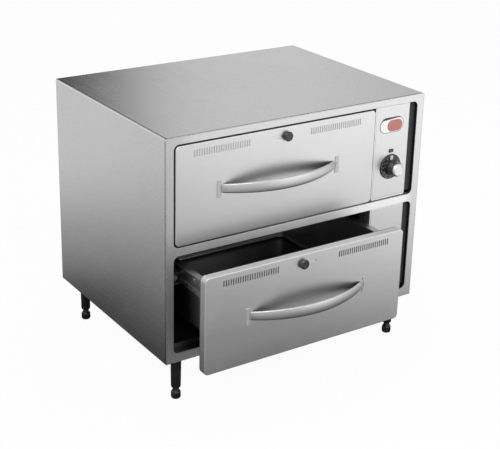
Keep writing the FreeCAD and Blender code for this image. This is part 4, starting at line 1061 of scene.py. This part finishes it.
def make_leg(place):
    """Turned leg with eased shoulders, its hexagon nut inside the floor sheet, and its foot. Row i of the
    foot's stem has the radius R - depth (1 - cos(i pi / 2)), which gives the rings of the thread. Inside the
    leg the stem is plain."""
    node = "leg_" + place
    low, high = node_box(node)
    base = np.array([(low[0] + high[0]) / 2, (low[1] + high[1]) / 2, 0.0])
    top = high[2] - LEG_STUD_L
    flange = top - LEG_FLANGE_T
    bore, bore_top = FOOT_STEM_R + RUNNING, FOOT_STEM_TOP + LEG_BORE_SPARE
    profile = eased([(0, bore_top), (bore, bore_top), (bore, low[2]), (LEG_LOW_R - 1, low[2]),
                     (LEG_LOW_R, low[2] + 2), (LEG_TOP_R, flange - LEG_BAND_H), (LEG_TOP_R, flange),
                     (LEG_FLANGE_R, flange), (LEG_FLANGE_R, top), (LEG_STUD_R, top),
                     (LEG_STUD_R, high[2]), (0, high[2])],
                    [0, 0.3, 0.3, 0.4, 0.8, 4.0, 1.6, 0.7, 0.3, 0.2, 0.6, 0])
    nut_base = top + SHEET
    nut = eased([(0, 0), (NUT_R, 0), (NUT_R, NUT_H), (0, NUT_H)], [0, 0.2, 0.5, 0]) + (0, nut_base)
    turned = [lathe(profile, base, UPWARD), lathe(nut, base, UPWARD, NUT_SIDES)]
    add_piece("turned_" + node, turned, "black_paint", "cabinet", [node])

    foot = eased([(0, 0), (FOOT_TIP_R, 0), (FOOT_R, 3), (FOOT_R, FOOT_H - 5), (FOOT_R - 2, FOOT_H - 1.5),
                  (FOOT_R - 3.5, FOOT_H), (FOOT_STEM_R, FOOT_H)], [0, 1.0, 1.4, 1.6, 1.0, 0.4, 0])
    height = np.linspace(FOOT_H + 1, FOOT_STEM_TOP, THREAD_ROWS)
    wave = 1 - np.cos(np.pi * np.arange(THREAD_ROWS) / 2)
    ridge = FOOT_STEM_R - THREAD_DEPTH * wave * (height < low[2] - 1)
    stem = np.stack([ridge, height], -1)
    profile = np.concatenate([foot, stem, [(0, FOOT_STEM_TOP)]])
    add_piece("turned_foot_" + place, [lathe(profile, base, UPWARD, FOOT_SIDES)], "black_foot",
              "foot_" + place, ["foot_" + place])


# ------------------------------------------------------------------ fasteners and bushing
SCREW_R = 2.0
SCREW_HEAD_R = 4.0
SCREW_HEAD_T = 2.0
SCREW_L = 6.0
SCREW_SIDES = 48
CROSS_L = 1.9
CROSS_HALF_W = 0.42
BACK_SCREW_INSET = 9.0
BACK_SCREW_END = 40.0
BACK_SCREW_ROWS = 3
TOP_SCREW_SHARES = (-0.25, 0.0, 0.25)
FRONT_SCREW_X = (-200, -70, 70, 200)
FRONT_SCREW_LAP = 1.5
RAIL_SCREW_INSET = 13.5
RAIL_SCREW_DROP = 15.0
RAIL_SCREW_SHARES = (0.15, 0.5, 0.85)


def screw_grids(head_base, direction):
    """Domed screw with a cross recess. A row with a negative radius follows the cross, times that number: at
    the angle a its radius is min(L / max(|cos a|, |sin a|), w / min(|cos a|, |sin a|)), the outline of a
    cross with arms L long and w half wide. Half a step of turn keeps every ray off the axes."""
    r, t = SCREW_HEAD_R, SCREW_HEAD_T
    rows = np.array([(0, -SCREW_L), (SCREW_R * 0.7, -SCREW_L), (SCREW_R, -SCREW_L + 0.8), (SCREW_R, 0),
                     (r - 0.2, 0), (r, 0.15), (r, t * 0.4), (r * 0.93, t * 0.62), (r * 0.78, t * 0.84),
                     (r * 0.6, t * 0.96), (-1, t), (-1, t - 0.1), (-0.8, t - 1.1), (0, t - 1.3)])
    along = np.asarray(direction, float)
    step = np.pi / SCREW_SIDES
    angle = np.linspace(0, 2 * np.pi, SCREW_SIDES, endpoint=False) + step
    c, s = np.abs(np.cos(angle)), np.abs(np.sin(angle))
    cross = np.minimum(CROSS_L / np.maximum(c, s), CROSS_HALF_W / np.minimum(c, s))
    given, height = rows[:, :1], rows[:, 1]
    radius = np.where(given < 0, -given * cross, given)
    grid, _, _ = lathe(np.stack([np.ones(len(rows)), height], -1), head_base, direction, SCREW_SIDES)
    centre = np.asarray(head_base)[None, None] + height[:, None, None] * along
    ring = grid - centre
    ring = ring * math.cos(step) + np.cross(along, ring) * math.sin(step)
    return centre + ring * radius[..., None], False, True


def make_screws():
    """Screws of the back panel, down both sides and along the top, and of each drawer's carrier."""
    low, high = node_box("outer_shell")
    inset = BACK_SCREW_INSET
    apart = (high[2] - low[2] - 2 * BACK_SCREW_END) / (BACK_SCREW_ROWS - 1)
    places = [(x, high[1], low[2] + BACK_SCREW_END + i * apart)
              for i in range(BACK_SCREW_ROWS) for x in (low[0] + inset, high[0] - inset)]
    places += [(share * (high[0] - low[0]), high[1], high[2] - inset) for share in TOP_SCREW_SHARES]
    add_piece("back_screws", [screw_grids(at, BACKWARD) for at in places], "screw_steel", "cabinet",
              ["cabinet_screws"])
    for level in LEVELS:
        low, high = node_box(level + "_carrier")
        middle = (low[0] + high[0]) / 2
        grids = [screw_grids((middle + x, low[1] + FRONT_SCREW_LAP, (low[2] + high[2]) / 2), BACKWARD)
                 for x in FRONT_SCREW_X]
        inside = low[0] + RAIL_SCREW_INSET
        z = high[2] - RAIL_SCREW_DROP
        for share in RAIL_SCREW_SHARES:
            y = low[1] + share * (high[1] - low[1])
            grids.append(screw_grids((inside, y, z), RIGHTWARD))
            grids.append(screw_grids((2 * middle - inside, y, z), LEFTWARD))
        add_piece(level + "_carrier_screws", grids, "screw_steel", level + "_drawer",
                  [level + "_drawer_screws"])


BUSHING_BORE_R = 7.0
BUSHING_FLANGE_R = 15.0
BUSHING_NECK_R = 11.0
BUSHING_BARB_R = 12.5
BUSHING_BARB_L = 2.0
BUSHING_TAIL_R = 9.5
BUSHING_SIDES = 72


def make_bushing():
    """Moulded cable bushing: flange, neck through the sheet, barbed collar, clear bore."""
    low, high = node_box("cable_bushing")
    base = np.array([(low[0] + high[0]) / 2, high[1], (low[2] + high[2]) / 2])
    length = high[1] - low[1]
    neck_end = 2 * SHEET
    profile = eased([(BUSHING_BORE_R, 0), (BUSHING_FLANGE_R, 0), (BUSHING_FLANGE_R, SHEET),
                     (BUSHING_NECK_R, SHEET), (BUSHING_NECK_R, neck_end), (BUSHING_BARB_R, neck_end),
                     (BUSHING_BARB_R, neck_end + BUSHING_BARB_L), (BUSHING_TAIL_R, length),
                     (BUSHING_BORE_R, length)], 0.4, closed=True)
    points, _, _ = lathe(profile, base, FORWARD, BUSHING_SIDES)
    add_piece("bushing_moulded", [(points, True, True)], "black_nylon", "cabinet", ["cable_bushing"])


# ------------------------------------------------------------------ inside the drawers and cavities
ROLLER_R = 12.0
ROLLER_W = 9.0
ROLLER_SIDES = 64
ROLLER_RIM = 2.0
HUB_W = 3.0
HUB_DROP = 0.6
HUB_SLOPE = 0.4
AXLE_R = 4.0
PAN_T = 1.0
PAN_CORNER_R = 28.0
PAN_FLOOR_R = 12.0
PAN_DRAFT = 5.0
PAN_RIM_SIDE = 16.5
PAN_RIM_FRONT = 9.0
PAN_RIM_BACK = 13.0
PAN_LIP_R = 6.0
PAN_STEPS = 9
PAN_CORNER_STEPS = 17
FLOOR_LEAD = 20.0
ELEMENT_R = 4.0
ELEMENT_LIFT = 14.0
ELEMENT_LEGS = 4
ELEMENT_PITCH = 72.0
ELEMENT_FIRST = 13.0
ELEMENT_TAIL = 125.0
ELEMENT_SIDES = 20
BEND_STEPS = 25
ELEMENT_FOOT_INSET = 24.0
ELEMENT_FOOT_HALF = (2.0, 12.0)
TERMINAL_INSET = 30.0
TERMINAL_T = 2.0
TERMINAL_HALF_W = 13.0
TERMINAL_H = 18.0


def make_rollers(node, body):
    """Nylon rollers with eased rims, a shallow hub and a running bore."""
    low, high = node_box(node)
    y, z = (low[1] + high[1]) / 2, (low[2] + high[2]) / 2
    bore, hub, rim = AXLE_R + RUNNING, AXLE_R + HUB_W, ROLLER_R - ROLLER_RIM
    near, far = HUB_DROP, ROLLER_W - HUB_DROP
    profile = eased([(bore, 0), (hub, 0), (hub + HUB_SLOPE, near), (rim - HUB_SLOPE, near), (rim, 0),
                     (ROLLER_R, 0), (ROLLER_R, ROLLER_W), (rim, ROLLER_W), (rim - HUB_SLOPE, far),
                     (hub + HUB_SLOPE, far), (hub, ROLLER_W), (bore, ROLLER_W)], 0.8, 4, closed=True)
    grids = []
    for x in (low[0], high[0] - ROLLER_W):
        points, _, _ = lathe(profile, (x, y, z), RIGHTWARD, ROLLER_SIDES)
        grids.append((points, True, True))
    add_piece("turned_" + node, grids, "roller_nylon", body, [node])


def make_pan(level):
    """Drawn pan. Its rows are rounded rectangles eased in six values at once: from the middle of the floor
    out over the floor radius, up the drafted wall, over the rim and back down outside."""
    node = level + "_pan"
    low, high = node_box(node)
    rim = high[2] - PAN_T
    x0, x1 = low[0] + PAN_RIM_SIDE, high[0] - PAN_RIM_SIDE
    y0, y1 = low[1] + PAN_RIM_FRONT, high[1] - PAN_RIM_BACK
    cx, cy = (x0 + x1) / 2, (y0 + y1) / 2

    def ring(inset, z):
        """Row of the pan's outline, drawn in by an inset."""
        return (x0 + inset, x1 - inset, y0 + inset, y1 - inset, PAN_CORNER_R - inset, z)

    lip = (low[0], high[0], low[1], high[1], PAN_LIP_R)
    low_in = PAN_DRAFT + PAN_T
    rows = eased([(cx, cx, cy, cy, 0, low[2] + PAN_T), ring(low_in + FLOOR_LEAD, low[2] + PAN_T),
                  ring(low_in, low[2] + PAN_T), ring(PAN_T, high[2]), lip + (high[2],), lip + (rim,),
                  ring(0, rim), ring(PAN_DRAFT, low[2]), ring(PAN_DRAFT + FLOOR_LEAD, low[2]),
                  (cx, cx, cy, cy, 0, low[2])],
                 [0, 1, PAN_FLOOR_R, 4.0, 0.4, 0.4, 3.0, PAN_FLOOR_R, 1, 0], PAN_STEPS)
    drawn = (rounded_rings(rows, PAN_CORNER_STEPS), False, True)
    add_piece(level + "_drawn_pan", [drawn], "pan_steel", level + "_drawer", [node])


def make_element(level):
    """Heater tube: straight runs joined by half turns (x, y) = end + R (sin a, -cos a), with its feet and
    terminal plates."""
    node = level + "_heating_element"
    low, high = node_box(node)
    z = low[2] + ELEMENT_LIFT
    first = low[1] + ELEMENT_FIRST
    bend = ELEMENT_PITCH / 2
    left, right = low[0] + bend + ELEMENT_R, high[0] - ELEMENT_TAIL
    turn = np.linspace(0, np.pi, BEND_STEPS)
    path = [[(high[0], first)]]
    for i in range(ELEMENT_LEGS - 1):
        side, at = (-1, left) if i % 2 == 0 else (1, right)
        y = first + i * ELEMENT_PITCH + bend
        path.append(np.stack([at + side * bend * np.sin(turn), y - bend * np.cos(turn)], -1))
    path.append([(high[0], first + (ELEMENT_LEGS - 1) * ELEMENT_PITCH)])
    path = np.concatenate([np.asarray(part, float) for part in path])
    path = np.concatenate([path[:1], path, path[-1:]])
    along = np.gradient(path, axis=0)
    along[[0, 1, -2, -1]] = [(-1, 0), (-1, 0), (1, 0), (1, 0)]
    along /= np.linalg.norm(along, axis=1)[:, None]
    angle = np.linspace(0, 2 * np.pi, ELEMENT_SIDES, endpoint=False)[None, :, None]
    radius = np.full(len(path), ELEMENT_R)
    radius[[0, -1]] = 0
    across = np.stack([-along[:, 1], along[:, 0], 0 * along[:, 0]], -1)[:, None]
    line = np.concatenate([path, np.full((len(path), 1), z)], 1)[:, None]
    tube = line + radius[:, None, None] * (np.cos(angle) * across + np.sin(angle) * np.array(UPWARD))
    add_piece(level + "_heater_tube", [(tube, False, True)], "element_sheath", "cabinet", [node])

    depth = first + ELEMENT_PITCH * np.arange(ELEMENT_LEGS)
    ends = np.array([left + ELEMENT_FOOT_INSET, right - ELEMENT_FOOT_INSET])
    foot_x, foot_y = [v.ravel() for v in np.meshgrid(ends, depth)]
    half_x, half_y = ELEMENT_FOOT_HALF
    lows = np.stack([foot_x - half_x, foot_y - half_y, 0 * foot_x + low[2]], -1)
    highs = np.stack([foot_x + half_x, foot_y + half_y, 0 * foot_x + z + ELEMENT_R + 1], -1)
    plate_x, plate_y = high[0] - TERMINAL_INSET, depth[[0, -1]]
    lows = np.concatenate([lows, [(plate_x - TERMINAL_T, y - TERMINAL_HALF_W, low[2]) for y in plate_y]])
    highs = np.concatenate([highs, [(plate_x, y + TERMINAL_HALF_W, low[2] + TERMINAL_H) for y in plate_y]])
    add_piece(level + "_heater_feet", boxes(lows, highs), "zinc_steel", "cabinet")


# ------------------------------------------------------------------ stage
# Grey levels at positions from 0 to 1: of the floor's painted shade by distance from the body and from left
# to right, of the sky from straight down to straight up, and of the dark screen across the back from left to
# right.
STAGE_HALF = 14.0
FLOOR_SHADE_SEEN = [(0.0, 0.03), (0.10, 0.09), (0.15, 0.17), (0.21, 0.27), (0.29, 0.36), (0.41, 0.47), (0.52, 0.60),
              (0.70, 0.80), (1.0, 0.86)]
FLOOR_REACH = 1.6
FLOOR_SIDE = [(0.0, 0.57), (0.36, 0.57), (0.46, 0.38), (0.52, 0.38), (0.59, 0.60), (0.69, 0.82), (1.0, 0.82)]
FLOOR_SIDE_SPAN = 4.0
FLOOR_STRENGTH = 1.6
FLOOR_WHITE_SHARE = 0.96
SKY_SEEN = [(0.0, 0.80), (0.5, 0.94), (0.7, 0.96), (0.8, 0.80), (1.0, 0.80)]
SKY_STRENGTH = 0.8
SCREEN_SEEN = [(0.0, 1.0), (0.28, 1.0), (0.35, 0.01), (0.478, 0.01), (0.515, 1.0), (0.58, 1.0), (0.62, 0.78),
               (1.0, 0.78)]
SCREEN_YAW = math.radians(28.0)
SCREEN_BACK = (0.2, 0.4)
WHITE = (1.0, 1.0, 1.0, 1.0)


def stage_floor():
    """Pale floor. The camera sees it white; the metal sees painted shade on it, dim close to the body and
    bright further out, and darker about the body and on its left than on its right. The distance from the
    body's outline is sqrt(gx^2 + gy^2), where g is how far a place lies outside it along each axis."""
    finish = Finish("pale floor", Metallic=0.0, Roughness=0.9)
    tone = finish.noise(3.0, 2.0)
    finish.surface(Base_Color=finish.mix(tone, colour(0.80), colour(0.84)))
    low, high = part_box("outer_shell")
    squares = []
    for axis, name in enumerate("XY"):
        middle, half = (low[axis] + high[axis]) / 2, (high[axis] - low[axis]) / 2
        gap = ((finish.part_of(name) - middle).maths("ABSOLUTE") - half).maths("MAXIMUM", 0.0)
        squares.append(gap * gap)
    distance = (squares[0] + squares[1]) ** 0.5
    # Painted shade seen only in reflections: a ramp by distance, times a ramp from left to right.
    seen = finish.grey_ramp(FLOOR_SHADE_SEEN, distance * (1 / FLOOR_REACH))
    seen_side = finish.grey_ramp(FLOOR_SIDE, finish.part_of("X") * (1 / FLOOR_SIDE_SPAN) + 0.5)
    seen = finish.mix(1.0, seen, seen_side, "MULTIPLY")
    mirrored = finish.node("Emission", {}, {"Color": seen, "Strength": FLOOR_STRENGTH})
    white = finish.node("Emission", {}, {"Color": WHITE, "Strength": 1.0})
    plain = Value(finish, finish.shader.outputs[0])
    blend = finish.node("MixShader", {}, {0: finish.ray("Glossy"), 1: plain, 2: mirrored})
    straight = finish.ray("Camera") + finish.ray("Transmission")
    blend = finish.node("MixShader", {}, {0: straight * FLOOR_WHITE_SHARE, 1: blend, 2: white})
    finish.feed(finish.output.inputs["Surface"], blend)
    u = np.linspace(-STAGE_HALF, STAGE_HALF, 3)
    x, y = np.meshgrid(u, u, indexing="ij")
    points = np.stack([x, y, 0 * x], -1).reshape(-1, 3)
    new_object("floor", points, grid_quads(np.arange(9).reshape(3, 3)), finish.material)


def make_world():
    """White to the camera. Elsewhere a soft sky whose grey follows the height of the ray, times a dark
    screen that stands across the back, turned by its yaw."""
    world = bpy.data.worlds.new("studio")
    bpy.context.scene.world = world
    world.use_nodes = True
    sky = Nodes(world.node_tree)
    ray = sky.node("TexCoord", {}, {}, "Generated")
    back = sky.node("SeparateXYZ", {}, {0: ray}, 1)
    up = sky.node("SeparateXYZ", {}, {0: ray}, 2)
    right = (math.cos(SCREEN_YAW), -math.sin(SCREEN_YAW), 0.0)
    across = sky.node("VectorMath", {"operation": "DOT_PRODUCT"}, {0: ray, 1: right}, "Value")
    behind = sky.node("MapRange", {}, {"Value": back, "From Min": SCREEN_BACK[0], "From Max": SCREEN_BACK[1]})
    seen = sky.grey_ramp(SKY_SEEN, up * 0.5 + 0.5)
    seen = sky.mix(behind, seen, sky.grey_ramp(SCREEN_SEEN, across * 0.5 + 0.5), "MULTIPLY")
    soft = sky.node("Background", {}, {"Color": seen, "Strength": SKY_STRENGTH})
    white = sky.node("Background", {}, {"Color": WHITE})
    blend = sky.node("MixShader", {}, {0: sky.ray("Camera"), 1: soft, 2: white})
    sky.node("OutputWorld", {}, {"Surface": blend})


def soft_lamp(name, at, towards, size, power):
    """Rectangular lamp of a power in watts that faces a point."""
    data = bpy.data.lights.new(name, "AREA")
    data.shape = "RECTANGLE"
    data.size, data.size_y = size
    data.energy = power
    lamp = bpy.data.objects.new(name, data)
    bpy.context.scene.collection.objects.link(lamp)
    away = Vector(at) - Vector(towards)
    lamp.matrix_world = Matrix.Translation(at) @ away.to_track_quat("Z", "Y").to_matrix().to_4x4()


# ------------------------------------------------------------------ assembly
make_camera()
make_world()
stage_floor()
soft_lamp("key", at=(-1.2, -2.6, 2.6), towards=(0.0, 0.0, 0.35), size=(2.4, 1.6), power=40.0)
soft_lamp("overhead", at=(0.3, 0.6, 3.2), towards=(0.0, 0.0, 0.4), size=(3.0, 3.0), power=25.0)
soft_lamp("front", at=(1.9, -2.9, 0.9), towards=(0.0, -0.2, 0.4), size=(2.2, 1.4), power=11.0)
dress_nodes()
for level in LEVELS:
    make_handle(level)
    make_thermostat_knob(level)
    make_vent_knob(level)
    make_pilot_light(level)
    make_seam_beads(level)
    make_slot_strip(level)
    make_pan(level)
    make_element(level)
    make_rollers(level + "_cabinet_rollers", level + "_cabinet_rollers")
    make_rollers(level + "_drawer_rollers", level + "_drawer_rollers")
for place in FEET:
    make_leg(place)
make_name_plate()
make_screws()
make_bushing()

bpy.context.scene.view_settings.view_transform = "Standard"
